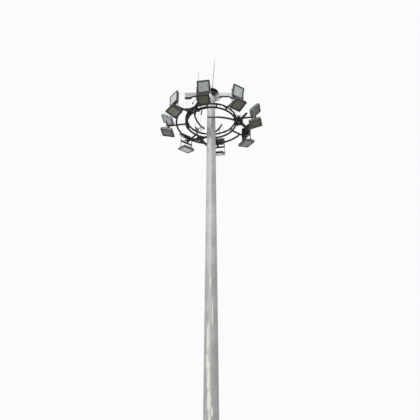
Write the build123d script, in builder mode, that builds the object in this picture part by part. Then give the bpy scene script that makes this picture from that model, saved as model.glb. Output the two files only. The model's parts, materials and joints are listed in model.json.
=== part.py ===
"""High mast floodlight tower.

A tapered, many-sided steel mast stands on a bolted base flange. A two-armed head frame on its top
carries two rope sheaves, and a luminaire ring with sixteen floodlights hangs from their ropes.
A winch inside the mast lowers the ring for service.

Millimetres, +Z up. The origin is the middle of the base flange's underside, on the mast's axis.
Angles round the mast are in degrees from +X, counted anticlockwise seen from above.
"""

import os
from math import cos, degrees, radians, tan

from build123d import *

os.makedirs("parts", exist_ok=True)

# ---------------------------------------------------------------- fits
weld_gap = 0.3          # between two pieces that are welded or bolted face to curved face
running_gap = 0.3       # round a pin that something turns on
panel_gap = 2.0         # round the door in its frame

# ---------------------------------------------------------------- mast
mast_sides = 16
mast_top = 19910.0      # upper rim of the mast
foot_across = 543.0     # across flats at z = 0
head_across = 240.0     # across flats of the lower section's taper line, carried up to the mast's top
lower_wall = 8.0
upper_wall = 6.0
slip_start = 8500.0     # lower rim of the upper section
slip_lap = 750.0        # how far the lower section runs up inside the upper one

# ---------------------------------------------------------------- base flange
flange_radius = 430.0
flange_thickness = 32.0
flange_bore = 190.0
bolt_circle_radius = 360.0
bolt_count = mast_sides
bolt_hole_radius = 19.5
flange_chamfer = 4.0
gusset_thickness = 12.0
gusset_height = 260.0
gusset_toe = 24.0       # height of the gusset's outer edge and width of its top edge
gusset_reach = 118.0    # how far a gusset runs out along the flange

# ---------------------------------------------------------------- service door
door_bottom = 620.0
door_height = 640.0
door_width = 190.0
door_frame_border = 38.0
door_frame_depth = 12.0
door_skin = 6.0
door_ledge = 14.0       # how far the frame's ledge runs in behind the door

# ---------------------------------------------------------------- head frame
hub_wall = 8.0
hub_skirt = 250.0       # how far the hub runs down over the mast
hub_plate = 12.0
hub_chamber = 150.0     # room for the ropes between the mast's rim and the hub's plate
hub_window_count = 4
hub_window_width = 112.0
hub_window_border = 15.0  # left above and below a window in the chamber's wall
hub_lip = 2.0           # how far the hub's shoulder runs in past the mast's wall
hub_port_gap = 10.0     # round the ropes where they enter the hub
arm_overhang = 75.0     # from the hanging rope out to the arm's tip
arm_width = 84.0
arm_wall = 6.0
arm_root_depth = 320.0
arm_waist_depth = 138.0
arm_tip_depth = 226.0
arm_waist_start = 385.0
arm_waist_end = 590.0
arm_tip_start = 700.0

sheave_radius = 58.0
sheave_groove_radius = 45.0
sheave_width = 26.0
sheave_rim = 4.0        # thickness of a sheave's rim at its edge
groove_gap = 1.0        # beside the rope at the bottom of the groove
sheave_drop = 88.0      # from the arm's top to the sheave's centre
sheave_pin_radius = 11.0
sheave_pin_head = 9.0
rope_radius = 5.0

cap_radius = 248.0
cap_height = 84.0
cap_wall = 5.0
cap_rim = 12.0
cap_crown_radius = 64.0  # flat crown that the lightning rod stands on

rod_radius = 13.0
rod_length = 1400.0
rod_lean = 3.8
rod_offset = 30.0
rod_socket_radius = 24.0
rod_socket_height = 70.0
side_rod_radius = 10.0
side_rod_length = 930.0
side_rod_lean = 5.5
side_rod_offset = -495.0
side_rod_socket_radius = 18.0
side_rod_socket_height = 130.0

# ---------------------------------------------------------------- luminaire ring
ring_level = 18825.0    # centre line of the lower and the outer ring
ring_spacing = 150.0    # from the lower ring up to the upper one
ring_radius = 805.0
ring_tube_radius = 20.0
outer_ring_radius = 1130.0  # of the half ring that ties the rear radial arms together
outer_tube_radius = 18.0
arm_rise = 65.0         # from the lower ring's centre line up to the radial arms' centre line
saddle_depth = 4.0      # how deep a tube sits in the piece that carries or straps it

station_count = 8
station_start = -9.5
lamp_pivot_radius = 1445.0
radial_width = 40.0
post_depth = 14.0       # thickness of the posts and hangers that join an arm to the rings
crossbar_length = 440.0  # of the bar across an arm's end that the yokes are bolted to
crossbar_width = 42.0
tied_stations = range(1, 6)  # the arms that the half ring joins, counted from the first station
lamp_spacing = 500.0    # between the tilt pins of a station's two lamps

knee_count = 3
knee_start = -5.8
knee_thickness = 14.0
knee_inner = 752.0
knee_outer = 1030.0
knee_inner_width = 280.0
knee_outer_width = 200.0
knee_corner = 18.0
brace_root_radius = 900.0
brace_root_width = 124.0
brace_tip_radius = 1280.0
brace_tip_width = 66.0
brace_nose_flat = 6.0   # width of the flat left at a brace's rounded tip
brace_spread = 20.0     # angle round the mast from the knee to a brace's tip

plug_radius = 18.0
plug_length = 84.0
plug_stem_radius = 7.0
plug_stem_length = 96.0
plug_inset = 60.0       # from a guide arm's pivot in to its hanging plug

guide_thickness = 20.0
guide_root_radius = 910.0
guide_tip = (-50.0, -340.0)
guide_bow = 1370.0      # bending radius of a guide arm
guide_root_width = 66.0
guide_tip_width = 44.0
roller_radius = 30.0
roller_width = 40.0
roller_pin_radius = 6.0
roller_chamfer = 4.0
roller_cap_radius = 10.0
roller_cap_thickness = 4.0

lug_width = 60.0
lug_height = 96.0
lug_thickness = 26.0
socket_radius = 13.0
socket_height = 64.0

box_length = 120.0
box_width = 96.0
box_height = 74.0
box_corner = 10.0
box_ring_gap = 25.0     # from the inner rings' tubes out to the box

# ---------------------------------------------------------------- floodlights
lamp_size = 415.0       # width and height of the housing's front
lamp_corner = 24.0
tray_front = 40.0       # from the tilt pin to the housing's front
tray_back = 12.0        # from the tilt pin to the tray's back
bezel_width = 32.0
bezel_depth = 8.0       # from the bezel's front down to the glass's seat
glass_thickness = 5.0
glass_ledge = 9.0       # width of the seat that the glass lies on
board_depth = 22.0      # from the bezel's front down to the floor that carries the diodes
fin_count = 11
fin_thickness = 5.0
fin_depth = 48.0
fin_height = 352.0
fin_pitch = 34.0

boss_radius = 20.0
boss_height = 6.0
tilt_pin_radius = 8.0
tilt_head_radius = 15.0
tilt_head_height = 7.0
strap_width = 36.0
strap_thickness = 5.0
strap_corner = 26.0
strap_nose_flat = 1.0   # width of the flat left at a strap's rounded end
yoke_reach = 225.0      # from the tilt pin to the inner face of the yoke's base

# downward tilt of each station's lamps, counted round the ring from the first station
upper_tilts = (47.0, 2.0, 28.0, 42.0, 58.0, 0.0, 19.0, 16.0)
lower_tilts = (75.0, 73.0, 65.0, 73.0, 74.0, 74.0, 77.0, 71.0)

# ---------------------------------------------------------------- sizes worked out from those above
station_step = 360.0 / station_count
mast_taper = (foot_across - head_across) / mast_top
slip_step = 2 * (upper_wall + weld_gap)
half_side_angle = 180.0 / mast_sides
arm_top = mast_top + weld_gap + hub_chamber + hub_plate
sheave_level = arm_top - sheave_drop
rope_x = ring_radius
arm_reach = rope_x + arm_overhang
sheave_x = rope_x - sheave_groove_radius - rope_radius
upper_ring_level = ring_level + ring_spacing

radial_height = lamp_spacing - 2 * (yoke_reach + strap_thickness)
radial_middle = ring_level + arm_rise
radial_bottom = radial_middle - radial_height / 2
post_bottom = ring_level + ring_tube_radius - saddle_depth
post_top = upper_ring_level - ring_tube_radius + saddle_depth
hanger_bottom = ring_level + outer_tube_radius - saddle_depth
knee_top = ring_level - ring_tube_radius + saddle_depth
guide_top = knee_top - knee_thickness
plug_offset = guide_root_radius - plug_inset
glass_size = lamp_size - 2 * bezel_width
strap_inside = lamp_size / 2 + boss_height + running_gap


def lower_across(height):
    """Outside of the lower section across flats at a height."""
    return foot_across - mast_taper * height


def upper_across(height):
    """Outside of the upper section, which slips over the lower one."""
    return lower_across(height) + slip_step


def mast_outline(across, height):
    """A many-sided outline at a height, with a corner towards +X."""
    with BuildSketch(Plane.XY.offset(height)) as outline:
        RegularPolygon(across / 2, mast_sides, major_radius=False)
    return outline.sketch


def mast_shell(bottom, top, outside, wall):
    """A tapered many-sided tube between two heights."""
    with BuildPart() as shell:
        loft([mast_outline(outside(bottom), bottom), mast_outline(outside(top), top)])
        inner_bottom = mast_outline(outside(bottom) - 2 * wall, bottom)
        inner_top = mast_outline(outside(top) - 2 * wall, top)
        loft([inner_bottom, inner_top], mode=Mode.SUBTRACT)
    return shell.part


def door_outline(margin):
    """The door's outline on the mast's front, grown by a margin and run through the front wall."""
    with BuildPart() as block:
        with BuildSketch(Plane.XZ.offset(lower_across(door_bottom) / 4)):
            with Locations((0, door_bottom + door_height / 2)):
                SlotOverall(door_height + 2 * margin, door_width + 2 * margin, rotation=90)
        extrude(amount=foot_across / 2)
    return block.part


def keep(piece, label):
    """Label one finished piece and write it to its own file."""
    piece.part.label = label
    export_step(piece.part, f"parts/{label}.step")


# ---------------------------------------------------------------- base
with BuildPart() as base_flange:
    with BuildSketch():
        Circle(flange_radius)
        Circle(flange_bore, mode=Mode.SUBTRACT)
        with PolarLocations(bolt_circle_radius, bolt_count):
            Circle(bolt_hole_radius, mode=Mode.SUBTRACT)
    extrude(amount=flange_thickness)
    chamfer(base_flange.faces().sort_by(Axis.Z)[-1].outer_wire().edges(), flange_chamfer)
keep(base_flange, "base_flange")

gusset_foot = lower_across(flange_thickness) / 2 + weld_gap
gusset_head = lower_across(flange_thickness + gusset_height) / 2 + weld_gap

with BuildPart() as gusset:
    with BuildSketch(Plane.XZ):
        with BuildLine():
            Polyline(
                (gusset_foot, flange_thickness),
                (gusset_foot + gusset_reach, flange_thickness),
                (gusset_foot + gusset_reach, flange_thickness + gusset_toe),
                (gusset_head + gusset_toe, flange_thickness + gusset_height),
                (gusset_head, flange_thickness + gusset_height),
                close=True,
            )
        make_face()
    extrude(amount=gusset_thickness / 2, both=True)

with BuildPart() as base_gussets:
    with PolarLocations(0, mast_sides, start_angle=half_side_angle):
        add(gusset.part)
keep(base_gussets, "base_gussets")

# ---------------------------------------------------------------- mast
with BuildPart() as mast_lower:
    add(mast_shell(flange_thickness, slip_start + slip_lap, lower_across, lower_wall))
    add(door_outline(-door_ledge), mode=Mode.SUBTRACT)
keep(mast_lower, "mast_lower")

with BuildPart() as mast_upper:
    add(mast_shell(slip_start, mast_top, upper_across, upper_wall))
keep(mast_upper, "mast_upper")


def frame_across(height):
    """Outside of the door frame, a thicker band on the lower section."""
    return lower_across(height) + 2 * (door_frame_depth + weld_gap)


door_clear_bottom = door_bottom - door_frame_border - gusset_toe
door_clear_top = door_bottom + door_height + door_frame_border + gusset_toe

with BuildPart() as door_seat:
    add(mast_shell(door_clear_bottom, door_clear_top, frame_across, door_skin + weld_gap))
    add(door_outline(0), mode=Mode.INTERSECT)

with BuildPart() as door_frame:
    add(mast_shell(door_clear_bottom, door_clear_top, frame_across, door_frame_depth))
    add(door_outline(door_frame_border), mode=Mode.INTERSECT)
    add(door_outline(-door_ledge), mode=Mode.SUBTRACT)
    add(door_seat.part, mode=Mode.SUBTRACT)
keep(door_frame, "door_frame")

with BuildPart() as service_door:
    add(mast_shell(door_clear_bottom, door_clear_top, frame_across, door_skin))
    add(door_outline(-panel_gap), mode=Mode.INTERSECT)
keep(service_door, "service_door")

# ---------------------------------------------------------------- head frame
hub_bottom = mast_top - hub_skirt
hub_inside = upper_across(hub_bottom) / 2 / cos(radians(half_side_angle)) + weld_gap
hub_outside = hub_inside + hub_wall
chamber_radius = upper_across(mast_top) / 2 - upper_wall - hub_lip
rope_level = sheave_level + sheave_groove_radius + rope_radius

with BuildPart() as head_hub:
    with BuildSketch(Plane.XY.offset(hub_bottom)):
        Circle(hub_outside)
    extrude(amount=arm_top - hub_bottom)
    with BuildSketch(Plane.XY.offset(hub_bottom)):
        Circle(hub_inside)
    extrude(amount=hub_skirt + weld_gap, mode=Mode.SUBTRACT)
    with BuildSketch(Plane.XY.offset(mast_top)):
        Circle(chamber_radius)
    extrude(amount=weld_gap + hub_chamber, mode=Mode.SUBTRACT)
    with PolarLocations(hub_outside, hub_window_count, start_angle=180 / hub_window_count):
        with Locations((0, 0, mast_top + weld_gap + hub_chamber / 2)):
            Box(
                2 * (hub_outside - chamber_radius + hub_wall),
                hub_window_width,
                hub_chamber - 2 * hub_window_border,
                mode=Mode.SUBTRACT,
            )
    with BuildSketch(Plane.YZ):
        with Locations((0, rope_level)):
            Circle(rope_radius + hub_port_gap)
    extrude(amount=hub_outside + 1, both=True, mode=Mode.SUBTRACT)
keep(head_hub, "head_hub")


def head_arm(side):
    """One arm of the head frame, an inverted channel with an arched underside, towards side * X."""
    root = hub_outside + weld_gap
    with BuildPart() as arm:
        with BuildSketch(Plane.XZ):
            with BuildLine():
                Polyline(
                    (root, arm_top - arm_root_depth),
                    (root, arm_top),
                    (arm_reach, arm_top),
                    (arm_reach, arm_top - arm_tip_depth),
                    (arm_tip_start, arm_top - arm_tip_depth),
                )
                Spline(
                    (arm_tip_start, arm_top - arm_tip_depth),
                    (arm_waist_end, arm_top - arm_waist_depth),
                    tangents=((-1, 0), (-1, 0)),
                )
                Line((arm_waist_end, arm_top - arm_waist_depth), (arm_waist_start, arm_top - arm_waist_depth))
                Spline(
                    (arm_waist_start, arm_top - arm_waist_depth),
                    (root, arm_top - arm_root_depth),
                    tangents=((-1, 0), (-0.5, -1)),
                )
            make_face()
        extrude(amount=arm_width / 2, both=True)
        with BuildSketch(Plane.XY.offset(arm_top - arm_wall)):
            with Locations(((root + arm_reach - arm_wall) / 2, 0)):
                Rectangle(arm_reach - arm_wall - root, arm_width - 2 * arm_wall)
        extrude(amount=-arm_root_depth - arm_wall, mode=Mode.SUBTRACT)
        with BuildSketch(Plane.XZ):
            with Locations((sheave_x, sheave_level)):
                Circle(sheave_pin_radius)
        extrude(amount=arm_width / 2 + sheave_pin_head, both=True)
        with BuildSketch(Plane.XY.offset(arm_top)):
            with Locations((arm_reach - arm_wall, 0)):
                Rectangle(arm_wall, arm_width / 2)
        extrude(amount=-arm_wall, mode=Mode.SUBTRACT)
    return arm.part if side > 0 else arm.part.mirror(Plane.YZ)


for name, side in (("head_arm_right", 1), ("head_arm_left", -1)):
    with BuildPart() as arm_piece:
        add(head_arm(side))
    keep(arm_piece, name)

with BuildPart() as sheave:
    with BuildSketch(Plane.XZ):
        with BuildLine():
            Polyline(
                (sheave_pin_radius + running_gap, -sheave_width / 2),
                (sheave_radius, -sheave_width / 2),
                (sheave_radius, -sheave_width / 2 + sheave_rim),
                (sheave_groove_radius, -rope_radius - groove_gap),
                (sheave_groove_radius, rope_radius + groove_gap),
                (sheave_radius, sheave_width / 2 - sheave_rim),
                (sheave_radius, sheave_width / 2),
                (sheave_pin_radius + running_gap, sheave_width / 2),
                close=True,
            )
        make_face()
    revolve(axis=Axis.Z)

with BuildPart() as head_sheaves:
    with Locations((sheave_x, 0, sheave_level), (-sheave_x, 0, sheave_level)):
        add(sheave.part, rotation=(90, 0, 0))
keep(head_sheaves, "head_sheaves")


def head_rope(side):
    """The rope over one sheave: a quarter turn, then along the arm and into the hub."""
    with BuildPart() as rope:
        with BuildLine(Plane.XZ) as route:
            turn = CenterArc((sheave_x, sheave_level), sheave_groove_radius + rope_radius + weld_gap, 0, 90)
            Line(turn @ 1, (chamber_radius / 2, (turn @ 1).Z))
        with BuildSketch(Plane(origin=route.line @ 0, z_dir=route.line % 0)):
            Circle(rope_radius)
        sweep(path=route.line)
    return rope.part if side > 0 else rope.part.mirror(Plane.YZ)


with BuildPart() as head_ropes:
    add(head_rope(1))
    add(head_rope(-1))
keep(head_ropes, "head_ropes")

def cap_form(radius, height):
    """A shallow dome on a short upright rim."""
    with BuildPart() as form:
        with BuildSketch(Plane.XZ):
            with BuildLine():
                Polyline((cap_crown_radius, height), (0, height), (0, 0), (radius, 0), (radius, cap_rim))
                Spline((radius, cap_rim), (cap_crown_radius, height), tangents=((-0.15, 1), (-1, 0)))
            make_face()
        revolve(axis=Axis.Z)
    return form.part


with BuildPart() as rain_cap:
    with Locations((0, 0, arm_top + weld_gap)):
        add(cap_form(cap_radius, cap_height))
        add(cap_form(cap_radius - cap_wall, cap_height - cap_wall), mode=Mode.SUBTRACT)
keep(rain_cap, "rain_cap")


def rod(foot, lean, radius, length, socket_radius, socket_height):
    """A thin tapered rod in a socket, leaning towards +X."""
    with BuildPart(Plane(origin=foot, z_dir=Vector(tan(radians(lean)), 0, 1))) as leaning:
        Cylinder(socket_radius, socket_height, align=(Align.CENTER, Align.CENTER, Align.MIN))
        Cone(radius, radius / 2, length, align=(Align.CENTER, Align.CENTER, Align.MIN))
    return leaning.part


cap_crown = arm_top + weld_gap + cap_height + weld_gap + rod_socket_radius * tan(radians(rod_lean))

with BuildPart() as lightning_rod:
    add(rod((rod_offset, 0, cap_crown), rod_lean, rod_radius, rod_length, rod_socket_radius, rod_socket_height))
keep(lightning_rod, "lightning_rod")

with BuildPart() as side_rod:
    add(
        rod(
            (side_rod_offset, 0, arm_top + weld_gap + side_rod_socket_radius * tan(radians(side_rod_lean))),
            side_rod_lean,
            side_rod_radius,
            side_rod_length,
            side_rod_socket_radius,
            side_rod_socket_height,
        )
    )
keep(side_rod, "side_rod")

# ---------------------------------------------------------------- rings of the carriage
for name, level in (("upper_ring", upper_ring_level), ("lower_ring", ring_level)):
    with BuildPart(Plane.XY.offset(level)) as ring:
        Torus(ring_radius, ring_tube_radius)
    keep(ring, name)


def tie_ring(gap=0):
    """The half ring that joins the rear radial arms, grown by a gap; it runs on past the end arms."""
    overrun = degrees(radial_width / outer_ring_radius)
    start = station_start + tied_stations[0] * station_step - overrun
    sweep = (len(tied_stations) - 1) * station_step + 2 * overrun
    with BuildPart(Plane.XY.offset(ring_level).rotated((0, 0, start))) as half:
        Torus(outer_ring_radius, outer_tube_radius + gap, major_angle=sweep, align=None)
    return half.part


with BuildPart() as outer_ring:
    add(tie_ring())
keep(outer_ring, "outer_ring")


def ring_clearance():
    """The three rings, a little thicker, to cut the saddles that they sit in."""
    with BuildPart() as tubes:
        with Locations((0, 0, ring_level), (0, 0, upper_ring_level)):
            Torus(ring_radius, ring_tube_radius + weld_gap)
        add(tie_ring(weld_gap))
    return tubes.part


ring_space = ring_clearance()

with BuildPart() as radial_arm:
    with BuildSketch(Plane.XZ):
        with Locations(((ring_radius + lamp_pivot_radius) / 2, radial_middle)):
            Rectangle(lamp_pivot_radius - ring_radius + post_depth, radial_height)
        with Locations((ring_radius, (post_bottom + post_top) / 2)):
            Rectangle(post_depth, post_top - post_bottom)
    extrude(amount=radial_width / 2, both=True)
    with BuildSketch(Plane.XZ):
        with Locations((lamp_pivot_radius, radial_middle)):
            Rectangle(crossbar_width, radial_height)
    extrude(amount=crossbar_length / 2, both=True)

with BuildPart() as hanger:
    with BuildSketch(Plane.XZ):
        with Locations((outer_ring_radius, (hanger_bottom + radial_middle) / 2)):
            Rectangle(post_depth, radial_middle - hanger_bottom)
    extrude(amount=radial_width / 2, both=True)

with BuildPart() as radial_arms:
    for station in range(station_count):
        with PolarLocations(0, 1, start_angle=station_start + station * station_step):
            add(radial_arm.part)
            if station in tied_stations:
                add(hanger.part)
    add(ring_space, mode=Mode.SUBTRACT)
keep(radial_arms, "radial_arms")


def brace_outline(side):
    """A tapered flat bar from the knee out past the outer ring, to one side of the knee."""
    root = Vector(brace_root_radius, 0)
    tip = Vector(brace_tip_radius, 0).rotate(Axis.Z, side * brace_spread)
    across = (tip - root).normalized().rotate(Axis.Z, 90)
    with BuildSketch() as bar:
        with BuildLine():
            Polyline(
                root + across * brace_root_width / 2,
                tip + across * brace_tip_width / 2,
                tip - across * brace_tip_width / 2,
                root - across * brace_root_width / 2,
                close=True,
            )
        make_face()
        fillet(bar.vertices().sort_by_distance(tip)[:2], (brace_tip_width - brace_nose_flat) / 2)
    return bar.sketch


with BuildPart() as knee_plate:
    with BuildSketch(Plane.XY.offset(knee_top)) as knee_face:
        with BuildLine():
            Polyline(
                (knee_inner, -knee_inner_width / 2),
                (knee_outer, -knee_outer_width / 2),
                (knee_outer, knee_outer_width / 2),
                (knee_inner, knee_inner_width / 2),
                close=True,
            )
        make_face()
        fillet(knee_face.vertices(), knee_corner)
        for side in (-1, 1):
            add(brace_outline(side))
    extrude(amount=-knee_thickness)

with BuildPart() as knee_plates:
    with PolarLocations(0, knee_count, start_angle=knee_start):
        add(knee_plate.part)
    add(ring_space, mode=Mode.SUBTRACT)
keep(knee_plates, "knee_plates")

# ---------------------------------------------------------------- guide arms and their rollers
guide_middle = guide_top - guide_thickness / 2
tip_x, tip_y = guide_tip
roller_start = tip_x - running_gap
roller_end = roller_start - roller_width

with BuildPart() as guide_arm:
    with BuildSketch(Plane.XY.offset(guide_top)):
        with BuildLine():
            RadiusArc(
                (guide_root_radius, -guide_root_width / 2), (tip_x, tip_y - guide_tip_width / 2), guide_bow
            )
            Line((tip_x, tip_y - guide_tip_width / 2), (tip_x, tip_y + guide_tip_width / 2))
            RadiusArc(
                (tip_x, tip_y + guide_tip_width / 2), (guide_root_radius, guide_root_width / 2), -guide_bow
            )
            Line((guide_root_radius, guide_root_width / 2), (guide_root_radius, -guide_root_width / 2))
        make_face()
        with Locations((guide_root_radius, 0)):
            Circle(guide_root_width / 2)
    extrude(amount=-guide_thickness)
    with BuildSketch(Plane.YZ.offset(tip_x)):
        with Locations((tip_y, guide_middle)):
            Circle(roller_pin_radius)
    extrude(amount=-(roller_width + 2 * running_gap))
    with BuildSketch(Plane.YZ.offset(roller_end - running_gap)):
        with Locations((tip_y, guide_middle)):
            Circle(roller_cap_radius)
    extrude(amount=-roller_cap_thickness)

with BuildPart() as guide_arms:
    with PolarLocations(0, knee_count, start_angle=knee_start):
        add(guide_arm.part)
keep(guide_arms, "guide_arms")

with BuildPart() as guide_roller:
    with BuildSketch(Plane.YZ.offset(roller_start)):
        with Locations((tip_y, guide_middle)):
            Circle(roller_radius)
            Circle(roller_pin_radius + running_gap, mode=Mode.SUBTRACT)
    extrude(amount=-roller_width)
    chamfer(guide_roller.edges().filter_by(GeomType.CIRCLE).sort_by(SortBy.RADIUS)[-2:], roller_chamfer)

with BuildPart() as guide_rollers:
    with PolarLocations(0, knee_count, start_angle=knee_start):
        add(guide_roller.part)
keep(guide_rollers, "guide_rollers")

with BuildPart() as hanging_plugs:
    with PolarLocations(plug_offset, knee_count, start_angle=knee_start):
        with Locations((0, 0, guide_top)):
            Cylinder(plug_stem_radius, plug_stem_length, align=(Align.CENTER, Align.CENTER, Align.MAX))
        with Locations((0, 0, guide_top - plug_stem_length)):
            Cylinder(plug_radius, plug_length, align=(Align.CENTER, Align.CENTER, Align.MAX))
keep(hanging_plugs, "hanging_plugs")

# ---------------------------------------------------------------- rope lugs and junction box
lug_bottom = upper_ring_level + ring_tube_radius - saddle_depth
box_middle = ring_radius + ring_tube_radius + box_ring_gap + box_length / 2

with BuildPart() as rope_lug:
    with BuildSketch(Plane.YZ) as lug_face:
        with Locations((0, lug_bottom + lug_height / 2)):
            Rectangle(lug_width, lug_height)
        fillet(lug_face.vertices().group_by(Axis.Y)[-1], lug_width / 2 - socket_radius)
    extrude(amount=lug_thickness / 2, both=True)
    with Locations((0, 0, lug_bottom + lug_height)):
        Cylinder(socket_radius, socket_height, align=(Align.CENTER, Align.CENTER, Align.MIN))

with BuildPart() as rope_lugs:
    with PolarLocations(ring_radius, 2):
        add(rope_lug.part)
    add(ring_space, mode=Mode.SUBTRACT)
keep(rope_lugs, "rope_lugs")

rope_bottom = lug_bottom + lug_height + socket_height + weld_gap

with BuildPart() as suspension_ropes:
    with BuildSketch(Plane.XY.offset(rope_bottom)):
        with PolarLocations(rope_x, 2):
            Circle(rope_radius)
    extrude(amount=sheave_level - weld_gap - rope_bottom)
keep(suspension_ropes, "suspension_ropes")

with BuildPart() as junction_box:
    with PolarLocations(box_middle, 1, start_angle=station_start):
        with Locations((0, 0, radial_bottom + radial_height)):
            Box(box_length, box_width, box_height, align=(Align.CENTER, Align.CENTER, Align.MIN))
    fillet(junction_box.edges().filter_by(Axis.Z), box_corner)
keep(junction_box, "junction_box")

# ---------------------------------------------------------------- yokes
with BuildPart() as yoke:
    with BuildSketch(Plane.YZ) as strap_face:
        with Locations((0, (strap_width / 2 - yoke_reach - strap_thickness) / 2)):
            Rectangle(
                2 * (strap_inside + strap_thickness), strap_width / 2 + yoke_reach + strap_thickness
            )
        fillet(strap_face.vertices().group_by(Axis.Y)[0], strap_corner + strap_thickness)
        with BuildLine():
            bend = FilletPolyline(
                (-strap_inside, strap_width / 2),
                (-strap_inside, -yoke_reach),
                (strap_inside, -yoke_reach),
                (strap_inside, strap_width / 2),
                radius=strap_corner,
            )
            Line(bend @ 1, bend @ 0)
        make_face(mode=Mode.SUBTRACT)
    extrude(amount=strap_width / 2, both=True)
    ends = yoke.edges().filter_by(Axis.Y).group_by(Axis.Z)[-1]
    fillet(ends, (strap_width - strap_nose_flat) / 2)
    with BuildSketch(Plane.XZ):
        Circle(tilt_pin_radius + running_gap)
    extrude(amount=strap_inside + strap_thickness, both=True, mode=Mode.SUBTRACT)

for name, level, turn in (
    ("upper_yokes", radial_middle + lamp_spacing / 2, 0),
    ("lower_yokes", radial_middle - lamp_spacing / 2, 180),
):
    with BuildPart(Plane.XY.offset(level)) as yokes:
        with PolarLocations(lamp_pivot_radius, station_count, start_angle=station_start):
            add(yoke.part, rotation=(turn, 0, 0))
    keep(yokes, name)

# ---------------------------------------------------------------- floodlights
with BuildPart() as lamp_body:
    with BuildSketch(Plane.YZ.offset(-tray_back)):
        RectangleRounded(lamp_size, lamp_size, lamp_corner)
    extrude(amount=tray_back + tray_front)
    with BuildSketch(Plane.YZ.offset(tray_front)):
        Rectangle(glass_size, glass_size)
    extrude(amount=-bezel_depth, mode=Mode.SUBTRACT)
    with BuildSketch(Plane.YZ.offset(tray_front)):
        Rectangle(glass_size - 2 * glass_ledge, glass_size - 2 * glass_ledge)
    extrude(amount=-board_depth, mode=Mode.SUBTRACT)
    with BuildSketch(Plane.YZ.offset(-tray_back)):
        with GridLocations(fin_pitch, 0, fin_count, 1):
            Rectangle(fin_thickness, fin_height)
    extrude(amount=-fin_depth)
    for side in (-1, 1):
        with BuildSketch(Plane.XZ.offset(-side * lamp_size / 2)):
            Circle(boss_radius)
        extrude(amount=-side * boss_height)
        with BuildSketch(Plane.XZ.offset(-side * (lamp_size / 2 + boss_height))):
            Circle(tilt_pin_radius)
        extrude(amount=-side * (strap_thickness + 2 * running_gap))
        with BuildSketch(Plane.XZ.offset(-side * (strap_inside + strap_thickness + running_gap))):
            Circle(tilt_head_radius)
        extrude(amount=-side * tilt_head_height)

with BuildPart() as lamp_glass:
    with BuildSketch(Plane.YZ.offset(tray_front - bezel_depth)):
        Rectangle(glass_size - 2 * running_gap, glass_size - 2 * running_gap)
    extrude(amount=glass_thickness)


def lamp_place(station, level, tilt):
    """Where a floodlight hangs: turned to its station, then tipped down about its tilt pins."""
    turned = Location((0, 0, 0), (0, 0, station_start + station * station_step))
    return turned * Location((lamp_pivot_radius, 0, level)) * Location((0, 0, 0), (0, tilt, 0))


for row, tilts, level in (
    ("upper", upper_tilts, radial_middle + lamp_spacing / 2),
    ("lower", lower_tilts, radial_middle - lamp_spacing / 2),
):
    for station, tilt in enumerate(tilts):
        place = lamp_place(station, level, tilt)
        with BuildPart() as lamp:
            with Locations(place):
                add(lamp_body.part)
        keep(lamp, f"{row}_lamp_{station + 1}")
        with BuildPart() as glass:
            with Locations(place):
                add(lamp_glass.part)
        keep(glass, f"{row}_glass_{station + 1}")
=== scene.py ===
"""Looks of the high mast floodlight tower: finishes, lamp boards, ropes, cable looms and fixings.

Metres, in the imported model's frame: +Z up, the mast's axis at x = y = 0, its front towards -Y.
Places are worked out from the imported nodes' boxes and points and from the joints' places. Sizes of
fixings, cables and trim stand at the head of their section, and small seats and bevels where they
are used. Directions turn anticlockwise from +X.
"""
import json
from math import atan2, cos, pi, radians, sin, tan

import bmesh
import bpy
import numpy as np
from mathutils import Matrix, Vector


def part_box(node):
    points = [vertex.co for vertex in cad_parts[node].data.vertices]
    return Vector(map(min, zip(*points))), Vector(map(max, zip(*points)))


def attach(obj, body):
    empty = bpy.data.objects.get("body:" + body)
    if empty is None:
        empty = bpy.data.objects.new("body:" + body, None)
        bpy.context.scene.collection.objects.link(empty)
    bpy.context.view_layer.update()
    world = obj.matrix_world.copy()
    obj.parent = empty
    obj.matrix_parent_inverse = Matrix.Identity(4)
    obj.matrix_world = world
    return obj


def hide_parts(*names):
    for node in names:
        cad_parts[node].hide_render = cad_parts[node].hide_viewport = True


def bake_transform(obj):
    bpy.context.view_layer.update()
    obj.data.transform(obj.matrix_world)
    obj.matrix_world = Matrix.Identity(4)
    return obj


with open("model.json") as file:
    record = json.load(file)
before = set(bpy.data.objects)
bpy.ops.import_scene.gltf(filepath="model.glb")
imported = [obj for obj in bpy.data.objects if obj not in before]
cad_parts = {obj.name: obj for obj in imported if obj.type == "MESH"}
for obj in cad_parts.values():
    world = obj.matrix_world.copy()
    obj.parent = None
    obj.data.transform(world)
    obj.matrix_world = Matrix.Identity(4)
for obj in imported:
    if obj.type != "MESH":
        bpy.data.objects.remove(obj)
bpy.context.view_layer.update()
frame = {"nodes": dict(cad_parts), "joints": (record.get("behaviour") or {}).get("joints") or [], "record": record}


# ================================================================ places read from the frame
def low(node):
    """Lowest corner of a CAD node at rest."""
    return np.array(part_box(node)[0])


def high(node):
    """Highest corner of a CAD node at rest."""
    return np.array(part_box(node)[1])


def middle(node):
    """Centre of a CAD node's box at rest."""
    return (low(node) + high(node)) / 2


def points_of(node):
    """All points of a CAD node's mesh, one row each."""
    mesh = frame["nodes"][node].data
    flat = np.empty(len(mesh.vertices) * 3)
    mesh.vertices.foreach_get("co", flat)
    return flat.reshape(-1, 3)


def tube_radius(node):
    """Radius of the tube that a ring is bent from."""
    return (high(node)[2] - low(node)[2]) / 2


def ring_radius(node):
    """Radius of a ring's centre line."""
    return (high(node)[0] - low(node)[0]) / 2 - tube_radius(node)


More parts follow.
